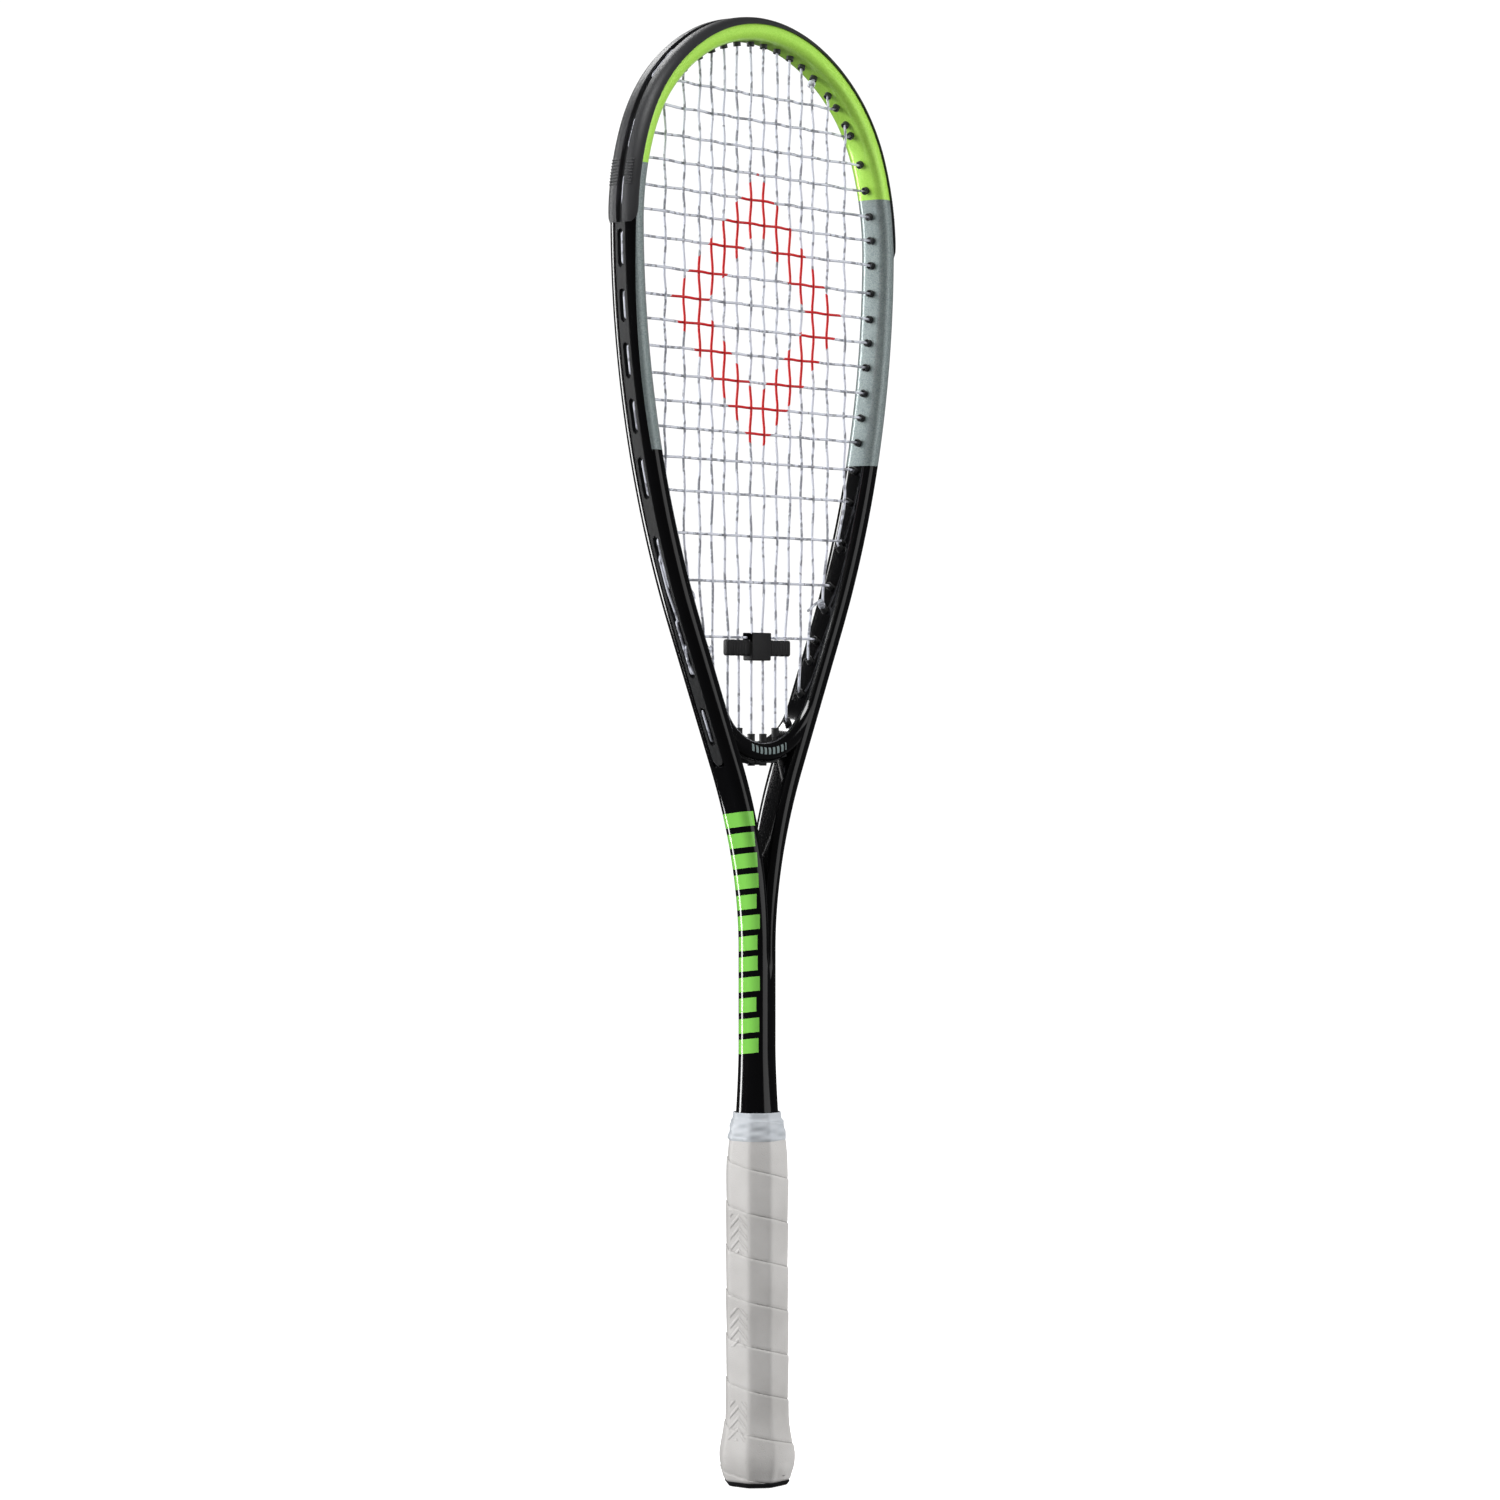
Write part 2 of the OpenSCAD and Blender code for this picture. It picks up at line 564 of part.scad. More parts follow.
module butt_cap_staples() {
    color("#b9bcc0") for (side = [-1, 1])
        translate([0, side * (grip_t / 2 - wrap_t - 1.8), 26]) rotate([90, 0, 0]) {
            translate([-5, -0.3, side > 0 ? -1.45 : 0.85]) cube([10, 0.6, 0.6]);
            for (x = [-5, 4.4]) translate([x, -0.3, side > 0 ? -1 : -1.8]) cube([0.6, 0.6, 2.8]);
        }
}

module grip_tack() {
    color("#b9bcc0") translate([0, -grip_t / 2 - 1.6, 7]) rotate([90, 0, 0]) {
        cylinder(h = 0.4, r = 2);
        translate([0, 0, -4]) cylinder(h = 4.2, r = 0.5);
    }
}

module underlay_tape() {
    outer = [for (z = [31, 144]) [z, grip_w - 2 * wrap_t - 0.1, grip_t - 2 * wrap_t - 0.1]];
    inner = [for (l = reversed(outer)) [l[0], l[1] - 0.5, l[2] - 0.5]];
    color("#e6e2d2") octagon_loft(concat(outer, inner), true);
}

module grip_wrap() {
    outer = grip_size(0);
    inner = reversed(grip_size(wrap_t));
    color("#dddcd8") octagon_loft(concat(outer, inner), true);
}

module finishing_tape() {
    outer = [[161, 26.4, 25], [166, 25.1, 23.7], [170.5, 23.6, 22.6], [171, 22, 21.4], [174, 21.6, 21.4]];
    inner = [[174, 20.3, 20.3], [166.1, 20.6, 20.4], [166.05, 24.5, 23.1], [161, 25.9, 24.5]];
    color("#e4e9ee") octagon_loft(concat(outer, inner), true);
}

frame_tube();
throat_bridge();
bridge_foam_core();
bumper_guard();
grommet_strip_left();
grommet_strip_right();
throat_grommet_strip();
main_string();
cross_string();
main_string_knots();
cross_string_knots();
dampener();
handle_pallet();
butt_cap();
butt_cap_staples();
grip_tack();
underlay_tape();
grip_wrap();
finishing_tape();
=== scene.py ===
import bmesh
import bpy
import math
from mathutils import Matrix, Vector


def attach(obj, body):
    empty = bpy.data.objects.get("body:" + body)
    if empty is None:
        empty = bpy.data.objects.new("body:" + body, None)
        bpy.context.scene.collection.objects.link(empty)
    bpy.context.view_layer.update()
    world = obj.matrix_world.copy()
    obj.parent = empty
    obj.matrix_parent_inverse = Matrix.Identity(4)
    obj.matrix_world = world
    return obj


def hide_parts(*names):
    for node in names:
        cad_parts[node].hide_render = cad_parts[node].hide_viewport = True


# A squash racket, in metres. Z runs from the butt to the tip, X across the face, and the front is -Y.
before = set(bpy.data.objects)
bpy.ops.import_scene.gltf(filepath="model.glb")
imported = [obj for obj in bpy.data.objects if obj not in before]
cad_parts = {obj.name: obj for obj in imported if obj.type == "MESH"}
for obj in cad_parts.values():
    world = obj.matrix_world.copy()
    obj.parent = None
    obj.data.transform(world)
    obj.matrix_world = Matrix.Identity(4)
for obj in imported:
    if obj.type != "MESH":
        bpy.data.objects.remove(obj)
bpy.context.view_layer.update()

# ------------------------------------------------------------------ studio
# The racket stands on its butt on a pale, faintly glowing floor under an even white sky that stays dim in
# the gloss. Two soft keys light its colours, four boxes seen only in the gloss make the highlights, and
# the camera looks level across the face with its picture shifted a little down.
CAMERA_BEARING = math.radians(52.45)
CAMERA_LENS = 109.0
CAMERA_DISTANCE = 2.125
CAMERA_HEIGHT = 0.3549
CAMERA_SHIFT = -0.0167
CAMERA_SIDESTEP = 0.0033
SKY_SEEN = 1.06
SKY_ON_COLOURS = 0.32
SKY_IN_GLOSS = 0.025
FLOOR_REACH = 9.0
FLOOR_DROP = 0.0004
FLOOR_GLOW = 0.85
scene = bpy.context.scene
scene.view_settings.view_transform = "Standard"


def level_direction(bearing):
    """The level direction from the racket's axis at a bearing, counted from the front towards -X."""
    return Vector((-math.sin(bearing), -math.cos(bearing), 0))


def point_at(thing, target):
    """Turns a camera or a light so that it looks at a point."""
    thing.rotation_euler = (Vector(target) - thing.location).to_track_quat("-Z", "Y").to_euler()


def soft_box(name, bearing, distance, height, wide, high, power, target_height, gloss=False):
    """A rectangular soft light at a bearing in degrees, seen either only in the gloss or only outside it."""
    lamp = bpy.data.lights.new(name, "AREA")
    lamp.shape = "RECTANGLE"
    lamp.size = wide
    lamp.size_y = high
    lamp.energy = power
    holder = bpy.data.objects.new(name, lamp)
    scene.collection.objects.link(holder)
    holder.location = level_direction(math.radians(bearing)) * distance + Vector((0, 0, height))
    holder.visible_diffuse = not gloss
    holder.visible_glossy = gloss
    holder.visible_camera = False
    point_at(holder, (0, 0, target_height))


def add_node(tree, kind, inputs=None, **options):
    """Adds a node, sets its options, then fills its inputs with values or with links."""
    made = tree.nodes.new(kind)
    for option, value in options.items():
        setattr(made, option, value)
    for socket, value in (inputs or {}).items():
        if isinstance(value, bpy.types.NodeSocket):
            tree.links.new(value, made.inputs[socket])
        else:
            made.inputs[socket].default_value = value
    return made


def calc(tree, operation, first, second=0.0, third=0.0):
    """One step of arithmetic in a node tree."""
    return add_node(tree, "ShaderNodeMath", {0: first, 1: second, 2: third}, operation=operation).outputs[0]


camera = bpy.data.objects.new("camera", bpy.data.cameras.new("camera"))
scene.collection.objects.link(camera)
camera.data.lens = CAMERA_LENS
camera.location = level_direction(CAMERA_BEARING) * CAMERA_DISTANCE
camera.location += Vector((-math.cos(CAMERA_BEARING), math.sin(CAMERA_BEARING), 0)) * CAMERA_SIDESTEP
camera.location.z = CAMERA_HEIGHT
camera.data.shift_y = CAMERA_SHIFT
camera.rotation_euler = (math.radians(90), 0, -CAMERA_BEARING)
scene.camera = camera

soft_box("left key", 118, 1.8, 0.9, 1.0, 1.0, 33, 0.35)
soft_box("right key", -40, 1.8, 0.9, 1.0, 1.0, 30, 0.35)
soft_box("left gloss box", 152, 1.5, 0.45, 0.34, 1.8, 22, 0.45, gloss=True)
soft_box("right gloss box", -16, 1.5, 0.5, 1.1, 1.3, 3, 0.5, gloss=True)
soft_box("top gloss box", 60, 0.9, 1.9, 0.9, 0.6, 14, 0.5, gloss=True)
soft_box("back gloss box", 198, 1.1, 1.75, 0.6, 0.6, 14, 0.36, gloss=True)

world = bpy.data.worlds.new("studio")
world.use_nodes = True
scene.world = world
sky = world.node_tree
ray = add_node(sky, "ShaderNodeLightPath").outputs
bright = calc(sky, "MULTIPLY_ADD", ray["Is Glossy Ray"], SKY_IN_GLOSS - SKY_SEEN, SKY_SEEN)
bright = calc(sky, "MULTIPLY_ADD", ray["Is Diffuse Ray"], SKY_ON_COLOURS - SKY_SEEN, bright)
sky.nodes["Background"].inputs["Color"].default_value = (1, 1, 1, 1)
sky.links.new(bright, sky.nodes["Background"].inputs["Strength"])

floor_corners = [(x * FLOOR_REACH, y * FLOOR_REACH, 0) for x, y in ((-1, -1), (1, -1), (1, 1), (-1, 1))]
floor_mesh = bpy.data.meshes.new("floor")
floor_mesh.from_pydata(floor_corners, [], [(0, 1, 2, 3)])
floor = bpy.data.objects.new("floor", floor_mesh)
scene.collection.objects.link(floor)
floor.location.z = -FLOOR_DROP
floor.visible_glossy = False
floor.visible_diffuse = False


def start_material(name, **constants):
    """A material whose shader has these constants set on its own sockets."""
    material = bpy.data.materials.new(name)
    material.use_nodes = True
    shader = material.node_tree.nodes["Principled BSDF"]
    for socket, value in constants.items():
        shader.inputs[socket.replace("_", " ")].default_value = value
    return material, material.node_tree, shader


def place(tree):
    """Object coordinates, which are the racket's own frame."""
    return add_node(tree, "ShaderNodeTexCoord").outputs["Object"]


def grain(tree, scale, detail=3.0):
    """A noise on the object, from 0 to 1, with its scale per metre."""
    noise = add_node(tree, "ShaderNodeTexNoise", {"Vector": place(tree), "Scale": scale, "Detail": detail})
    return noise.outputs[0]


def ramp(tree, value, start, end, low=0.0, high=1.0):
    """Maps a value that runs from start to end onto a range from low to high."""
    return add_node(tree, "ShaderNodeMapRange", {
        "Value": value, "From Min": start, "From Max": end, "To Min": low, "To Max": high}).outputs[0]


def spread(tree, share, low, high):
    """Maps a share of 0 to 1 onto a range."""
    return ramp(tree, share, 0.0, 1.0, low, high)


def blend_colour(tree, share, first, second):
    """The first colour where the share is 0, and the second where it is 1."""
    return add_node(tree, "ShaderNodeMix", {0: share, 6: first, 7: second}, data_type="RGBA").outputs[2]


def dress(tree, shader, colour, roughness, height, depth):
    """Links a colour, a roughness and a height in metres into a shader."""
    tree.links.new(colour, shader.inputs["Base Color"])
    tree.links.new(roughness, shader.inputs["Roughness"])
    relief = add_node(tree, "ShaderNodeBump", {"Height": height, "Distance": depth, "Strength": 1.0})
    tree.links.new(relief.outputs[0], shader.inputs["Normal"])


def grained_material(name, dark, light, rough, grain_scale, depth, coarser=24, **constants):
    """A finish with a fine grain in its roughness and relief, and a coarser one in its colour."""
    material, tree, shader = start_material(name, **constants)
    fine = grain(tree, grain_scale)
    colour = blend_colour(tree, grain(tree, grain_scale / coarser), (*dark, 1), (*light, 1))
    dress(tree, shader, colour, spread(tree, fine, *rough), fine, depth)
    return material


floor.data.materials.append(
    grained_material("pale floor", (0.95, 0.95, 0.95), (0.97, 0.97, 0.97), (0.9, 1.0), 40, 0.0002,
                     Specular_IOR_Level=0.0, Emission_Color=(1, 1, 1, 1), Emission_Strength=FLOOR_GLOW))

# -------------------------------------------------------------- frame tube
# One carbon laminate tube bent round the head, with a groove round its outside for the grommets. Its
# two ends run down as the throat arms and grow together into the shaft, which goes on into the handle.
# It is lacquered: lime at the head, satin grey-green at the shoulders, gloss black from there down.
TUBE_WIDE = 0.010
TUBE_DEEP = 0.016
TUBE_EDGE = 0.0044
GROOVE_WIDE = 0.0064
GROOVE_DEEP = 0.0024
HOOP_ARCS = [(0.102, 42.5), (0.077, 25.6), (0.112, 22.4), (0.426, 25.2)]
HOOP_TOP = 0.679
ARM_LENGTH = 0.072
SHAFT_WIDE = 0.017
SHAFT_DEEP = 0.016
SHAFT_EDGE = 0.007
SHAFT_FOOT = 0.004
SHAFT_STEP = 0.003
FLARE_TOP = 0.204
FLARE_FOOT = 0.170
FLARE_STEP = 0.002
FLARE_RADIUS = 0.0099
FLARE_EDGE = 0.0015
CLOSED_EDGE = 0.001
CLOSING = 0.022
LIME_FOOT = 0.6085
GREY_FOOT = 0.4795
GREY_MIDDLE = 0.545
GREY_SHORT = 0.0013
BAR_PITCH = 0.0096
BAR_SHARE = 0.70
BAR_LEAN = 0.12
BAR_UNEVEN = 0.0006
BAR_RHYTHM = 2.4
BARS_MIDDLE = 0.2580
BARS_HALF = 0.0575
BARS_EDGE = -0.0066
BARS_BEND = -1.775
BARS_BEND_FROM = 0.25
TICK_PITCH = 0.0021
TICK_HALF = 0.0006
TICKS_MIDDLE = 0.409
TICKS_HALF = 0.025
TICKS_FRONT = -0.003
TICKS_FOOT = (0.0171, 0.336)
TICKS_SLOPE = 0.4813
TICKS_BEND = -1.93
TICKS_BEND_FROM = 0.401
STRIP_SHORT = 0.0030
STATION_STEP = 0.0022
EDGE_STEPS = 8


def outward(turned):
    """The outward direction of the hoop where its heading has turned by an angle from the tip."""
    return Vector((math.sin(turned), 0, math.cos(turned)))


def onward(turned):
    """The direction along the hoop, down the right side, where its heading has turned by an angle."""
    return Vector((math.cos(turned), 0, -math.sin(turned)))


hoop = []
corner = Vector((0, 0, HOOP_TOP))
turned = 0.0
for radius, sweep in HOOP_ARCS:
    centre = corner - radius * outward(turned)
    last = turned + math.radians(sweep)
    hoop.append((radius, turned, last, centre))
    corner = centre + radius * outward(last)
    turned = last
arm_turn = turned
arm_start = corner
arm_end = arm_start + ARM_LENGTH * onward(arm_turn)
fork_x = SHAFT_WIDE / 2 - TUBE_WIDE / 2
fork_radius = (arm_end.x - fork_x) / (1 - math.cos(arm_turn - math.pi / 2))
fork_z = arm_end.z - fork_radius * math.sin(arm_turn - math.pi / 2)


def arc_stations(centre, radius, first, last):
    """Points and headings along an arc; a negative radius bends it the other way."""
    count = math.ceil(abs(radius * (last - first)) / STATION_STEP)
    steps = [first + (last - first) * k / count for k in range(count + 1)]
    return [(centre + radius * outward(turn), turn) for turn in steps]


hoop_stations = []
for arc_number, (radius, first, last, centre) in enumerate(hoop):
    hoop_stations += arc_stations(centre, radius, first, last)[1 if arc_number else 0:]
crown_stations = sum(len(arc_stations(c, r, f, l)) - 1 for r, f, l, c in hoop[:3]) + 1
arm_count = math.ceil(ARM_LENGTH / STATION_STEP)
arm_stations = [(arm_start.lerp(arm_end, k / arm_count), arm_turn) for k in range(1, arm_count + 1)]
fork_centre = arm_end + fork_radius * outward(arm_turn)
fork_stations = arc_stations(fork_centre, -fork_radius, arm_turn, math.pi / 2)[1:]


def ease(share):
    """A share held between 0 and 1 and eased at both ends."""
    share = min(1.0, max(0.0, share))
    return share * share * (3 - 2 * share)


def edge_arc(middle, radius, quarter):
    """The points of one rounded edge, as (outward, across) pairs."""
    steps = [math.pi / 2 * (quarter + k / EDGE_STEPS) for k in range(EDGE_STEPS + 1)]
    return [(middle[0] + radius * math.cos(a), middle[1] + radius * math.sin(a)) for a in steps]


def tube_outline(wide, deep, outer_edge, inner_edge, groove_wide, groove_deep):
    """A rounded box with a groove in its outer side, as (outward, across) pairs."""
    side = wide / 2
    front = deep / 2
    groove_wide = min(groove_wide, deep - 2 * outer_edge - 0.0002)
    points = [(side - groove_deep, groove_wide / 2), (side, groove_wide / 2)]
    points += edge_arc((side - outer_edge, front - outer_edge), outer_edge, 0)
    points += edge_arc((inner_edge - side, front - inner_edge), inner_edge, 1)
    points += edge_arc((inner_edge - side, inner_edge - front), inner_edge, 2)
    points += edge_arc((side - outer_edge, outer_edge - front), outer_edge, 3)
    return points + [(side, -groove_wide / 2), (side - groove_deep, -groove_wide / 2)]


def set_out(station, outline):
    """The points of an outline at a station of the centre line, in the racket's frame."""
    point, turn = station
    return [point + u * outward(turn) + Vector((0, y, 0)) for u, y in outline]


def skin(rings, ends=False):
    """Points and faces of a closed skin through rings of equal length."""
    count = len(rings[0])
    faces = []
    for row in range(len(rings) - 1):
        for k in range(count):
            near = row * count + k
            beside = row * count + (k + 1) % count
            faces.append((near, beside, beside + count, near + count))
    if ends:
        faces.append(tuple(range(count)))
        faces.append(tuple(range((len(rings) - 1) * count, len(rings) * count)))
    return [point for ring in rings for point in ring], faces


def make_piece(name, parts, material, mirrored=False, sharp=38, cut=True, capped=False):
    """A smooth object from (points, faces) parts, which may be one half that is mirrored over X."""
    points = []
    faces = []
    for part_points, part_faces in parts:
        faces += [tuple(i + len(points) for i in face) for face in part_faces]
        points += part_points
    mesh = bpy.data.meshes.new(name)
    mesh.from_pydata(points, [], faces)
    work = bmesh.new()
    work.from_mesh(mesh)
    if mirrored:
        if cut:
            bmesh.ops.bisect_plane(work, geom=[*work.verts, *work.edges, *work.faces], dist=1e-7,
                                   plane_co=(0, 0, 0), plane_no=(1, 0, 0), clear_inner=True)
            for vertex in work.verts:
                if abs(vertex.co.x) < 2e-6:
                    vertex.co.x = 0.0
        other = bmesh.ops.duplicate(work, geom=[*work.verts, *work.edges, *work.faces])["geom"]
        for item in other:
            if isinstance(item, bmesh.types.BMVert):
                item.co.x = -item.co.x
    bmesh.ops.remove_doubles(work, verts=work.verts, dist=3e-6)
    bmesh.ops.dissolve_degenerate(work, dist=1e-6, edges=work.edges)
    if capped:
        bmesh.ops.holes_fill(work, edges=[e for e in work.edges if e.is_boundary], sides=0)
    bmesh.ops.recalc_face_normals(work, faces=work.faces)
    work.to_mesh(mesh)
    work.free()
    return finish_piece(name, mesh, material, sharp)


def finish_piece(name, mesh, material, sharp=38):
    """Shades a mesh smooth but for its sharp edges, gives it its material, and makes it an object."""
    mesh.shade_smooth()
    mesh.set_sharp_from_angle(angle=math.radians(sharp))
    mesh.materials.clear()
    mesh.materials.append(material)
    made = bpy.data.objects.new(name, mesh)
    scene.collection.objects.link(made)
    return made


def hoop_x(z):
    """How far the hoop's centre line stands from the middle of the face at a height."""
    right_side = (point for point, turn in hoop_stations if point.x > 0)
    return min(right_side, key=lambda point: abs(point.z - z)).x


def own_axes(tree):
    """The x, y and z of a point in the racket's own frame."""
    return add_node(tree, "ShaderNodeSeparateXYZ", {0: place(tree)}).outputs


def product(tree, *factors):
    """The product of several values, such as masks that all have to hold."""
    result = factors[0]
    for factor in factors[1:]:
        result = calc(tree, "MULTIPLY", result, factor)
    return result


def stripes(tree, run, pitch, share):
    """A mask of 1 over the first share of each pitch along a run of metres."""
    within = calc(tree, "FRACT", calc(tree, "MULTIPLY", run, 1 / pitch))
    return calc(tree, "LESS_THAN", within, share)


def bent_line(tree, run, bend_from, bend, line):
    """A line that bends away by the square of the run once the run is past a point."""
    beyond = calc(tree, "MAXIMUM", calc(tree, "SUBTRACT", run, bend_from), 0.0)
    return calc(tree, "MULTIPLY_ADD", calc(tree, "MULTIPLY", beyond, beyond), bend, line)


def black_lacquer(name):
    """Gloss black under a clear coat, with the axes, the cloud and the colour to paint over."""
    material, tree, shader = start_material(name, Coat_Weight=0.7, Coat_Roughness=0.05)
    cloud = grain(tree, 130, 2.0)
    black = blend_colour(tree, cloud, (0.0015, 0.0015, 0.002, 1), (0.003, 0.003, 0.0035, 1))
    return material, tree, shader, own_axes(tree), cloud, black


def grey_mask(tree, axes, band):
    """The part of a band that is painted: the outer side of the hoop stays black beside the strips."""
    low_x, mid_x, high_x = (hoop_x(z) for z in (GREY_FOOT, GREY_MIDDLE, LIME_FOOT))
    below = GREY_FOOT - GREY_MIDDLE
    above = LIME_FOOT - GREY_MIDDLE
    bend = ((low_x - mid_x) / below - (high_x - mid_x) / above) / (below - above)
    lean = (low_x - mid_x) / below - bend * below
    from_middle = calc(tree, "SUBTRACT", axes[2], GREY_MIDDLE)
    slope = calc(tree, "MULTIPLY_ADD", from_middle, bend, lean)
    centre_line = calc(tree, "MULTIPLY_ADD", slope, from_middle, mid_x)
    outwards = calc(tree, "SUBTRACT", calc(tree, "ABSOLUTE", axes[0]), centre_line)
    return product(tree, band, calc(tree, "LESS_THAN", outwards, TUBE_WIDE / 2 - GREY_SHORT))


def bar_mask(tree, axes):
    """Lime bars of uneven length down the outer side of the left arm and the shaft."""
    leaning = calc(tree, "MULTIPLY_ADD", axes[1], BAR_LEAN, axes[2])
    number = calc(tree, "FLOOR", calc(tree, "MULTIPLY", leaning, 1 / BAR_PITCH))
    uneven = calc(tree, "SINE", calc(tree, "MULTIPLY", number, BAR_RHYTHM))
    edge = bent_line(tree, axes[2], BARS_BEND_FROM, BARS_BEND, BARS_EDGE)
    edge = calc(tree, "MULTIPLY_ADD", uneven, BAR_UNEVEN, edge)
    return product(tree, stripes(tree, leaning, BAR_PITCH, BAR_SHARE),
                   calc(tree, "COMPARE", axes[2], BARS_MIDDLE, BARS_HALF),
                   calc(tree, "LESS_THAN", axes[0], edge))


def tick_mask(tree, axes):
    """A line of fine ticks up the front of the right arm and hoop."""
    foot_x, foot_z = TICKS_FOOT
    line = calc(tree, "MULTIPLY_ADD", axes[2], TICKS_SLOPE, foot_x - TICKS_SLOPE * foot_z)
    line = bent_line(tree, axes[2], TICKS_BEND_FROM, TICKS_BEND, line)
    return product(tree, stripes(tree, axes[2], TICK_PITCH, 0.5),
                   calc(tree, "COMPARE", axes[2], TICKS_MIDDLE, TICKS_HALF),
                   calc(tree, "COMPARE", calc(tree, "SUBTRACT", axes[0], line), 0.0, TICK_HALF),
                   calc(tree, "LESS_THAN", axes[1], TICKS_FRONT))


def frame_material():
    """The lacquer: bands of colour down the racket, metal flake in them, bars and ticks."""
    material, tree, shader, axes, cloud, colour = black_lacquer("racket lacquer")
    flake = add_node(tree, "ShaderNodeTexVoronoi", {"Vector": place(tree), "Scale": 2600.0}).outputs["Color"]
    sparkle = add_node(tree, "ShaderNodeSeparateColor", {0: flake}).outputs[0]
    lime = calc(tree, "GREATER_THAN", axes[2], LIME_FOOT)
    above_black = calc(tree, "GREATER_THAN", axes[2], GREY_FOOT)
    grey = grey_mask(tree, axes, calc(tree, "SUBTRACT", above_black, lime))
    grey_tone = blend_colour(tree, sparkle, (0.20, 0.25, 0.25, 1), (0.36, 0.42, 0.42, 1))
    lime_tone = blend_colour(tree, sparkle, (0.42, 0.84, 0.085, 1), (0.56, 0.95, 0.155, 1))
    colour = blend_colour(tree, grey, colour, grey_tone)
    colour = blend_colour(tree, lime, colour, lime_tone)
    colour = blend_colour(tree, bar_mask(tree, axes), colour, (0.26, 0.74, 0.11, 1))
    faint_ticks = calc(tree, "MULTIPLY", tick_mask(tree, axes), 0.25)
    colour = blend_colour(tree, faint_ticks, colour, (0.45, 0.46, 0.46, 1))
    metal = calc(tree, "MULTIPLY_ADD", grey, 0.38, calc(tree, "MULTIPLY", lime, 0.18))
    tree.links.new(metal, shader.inputs["Metallic"])
    satin = calc(tree, "MULTIPLY_ADD", grey, 0.22, spread(tree, cloud, 0.12, 0.17))
    satin = calc(tree, "MULTIPLY_ADD", lime, 0.16, satin)
    dress(tree, shader, colour, satin, calc(tree, "MULTIPLY", sparkle, above_black), 0.00001)
    return material


lacquer = frame_material()
half_rings = []
for station in hoop_stations + arm_stations:
    depth = GROOVE_DEEP if (station[0] - arm_end).length > STRIP_SHORT else 0.0
    half_rings.append(set_out(station, tube_outline(
        TUBE_WIDE, TUBE_DEEP, TUBE_EDGE, TUBE_EDGE, GROOVE_WIDE, depth)))
for station in fork_stations:
    share = ease((arm_end.z - station[0].z) / (arm_end.z - fork_z))
    outer_edge = TUBE_EDGE + (SHAFT_EDGE - TUBE_EDGE) * share
    half_rings.append(set_out(station, tube_outline(
        TUBE_WIDE, TUBE_DEEP, outer_edge, TUBE_EDGE, GROOVE_WIDE, 0)))
shaft_count = int((fork_z - FLARE_TOP) / SHAFT_STEP)
flare_count = round((FLARE_TOP - FLARE_FOOT) / FLARE_STEP)
shaft_levels = [fork_z - SHAFT_STEP * k for k in range(1, 1 + shaft_count)]
shaft_levels += [FLARE_TOP - FLARE_STEP * k for k in range(flare_count)]
shaft_levels += [FLARE_FOOT + 0.0001, FLARE_FOOT - 0.0001, 0.12, 0.06, SHAFT_FOOT]
for level in shaft_levels:
    flare = ((FLARE_TOP - level) / (FLARE_TOP - FLARE_FOOT)) if level > FLARE_FOOT else 0.0
    flare = max(0.0, flare) ** 1.5
    grown = (FLARE_RADIUS - SHAFT_WIDE / 2) * flare
    inner_edge = TUBE_EDGE - (TUBE_EDGE - CLOSED_EDGE) * ease((fork_z - level) / CLOSING)
    deep = SHAFT_DEEP + 2 * (FLARE_RADIUS - SHAFT_DEEP / 2) * flare
    outline = tube_outline(TUBE_WIDE, deep, SHAFT_EDGE + FLARE_EDGE * flare, inner_edge, GROOVE_WIDE, 0)
    ring = set_out((Vector((fork_x, 0, level)), math.pi / 2), outline)
    for point in ring:
        point.x += grown * max(0.0, point.x) / (SHAFT_WIDE / 2)
    half_rings.append(ring)
frame_tube = make_piece("frame_tube_lacquered", [skin(half_rings)], lacquer, mirrored=True, capped=True)
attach(frame_tube, "racket")
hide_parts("frame_tube")

# ----------------------------------------------------------- throat bridge
# A short carbon arch laid over a foam core and bonded between the arms, lacquered with the frame. Its
# ends grow to the depth of the arms, and its underside has a groove for the throat grommets.
BRIDGE_TOP = 0.347
BRIDGE_WIDE = 0.0095
BRIDGE_DEEP = 0.014
BRIDGE_EDGE = 0.0042
BRIDGE_REACH = 62.5
BRIDGE_STEPS = 50
BRIDGE_SWELL = 0.0017
SWELL_FROM = 40
SWELL_OVER = 22
BRIDGE_GROOVE_WIDE = 0.0072
BRIDGE_GROOVE_DEEP = 0.0012
BRIDGE_GROOVE_TO = 33
RUNG_PITCH = 0.0032
RUNG_SHARE = 0.55
RUNG_HALF = 0.0016
RUNGS_HALF = 0.0136
RUNGS_FRONT = -0.0045
RUNGS_MIDDLE = 0.45
arm_inner = arm_end - TUBE_WIDE / 2 * outward(arm_turn)
arm_reach = arm_inner.dot(outward(arm_turn))
bridge_radius = (arm_reach - BRIDGE_TOP * math.cos(arm_turn)) / (1 + math.cos(arm_turn))
bridge_centre = Vector((0, 0, BRIDGE_TOP + bridge_radius))


def bridge_station(angle, radius=bridge_radius + BRIDGE_WIDE / 2):
    """A station on the arch, at an angle in degrees from straight down, with its outward side below."""
    turn = math.pi - math.radians(angle)
    return bridge_centre + radius * outward(turn), turn


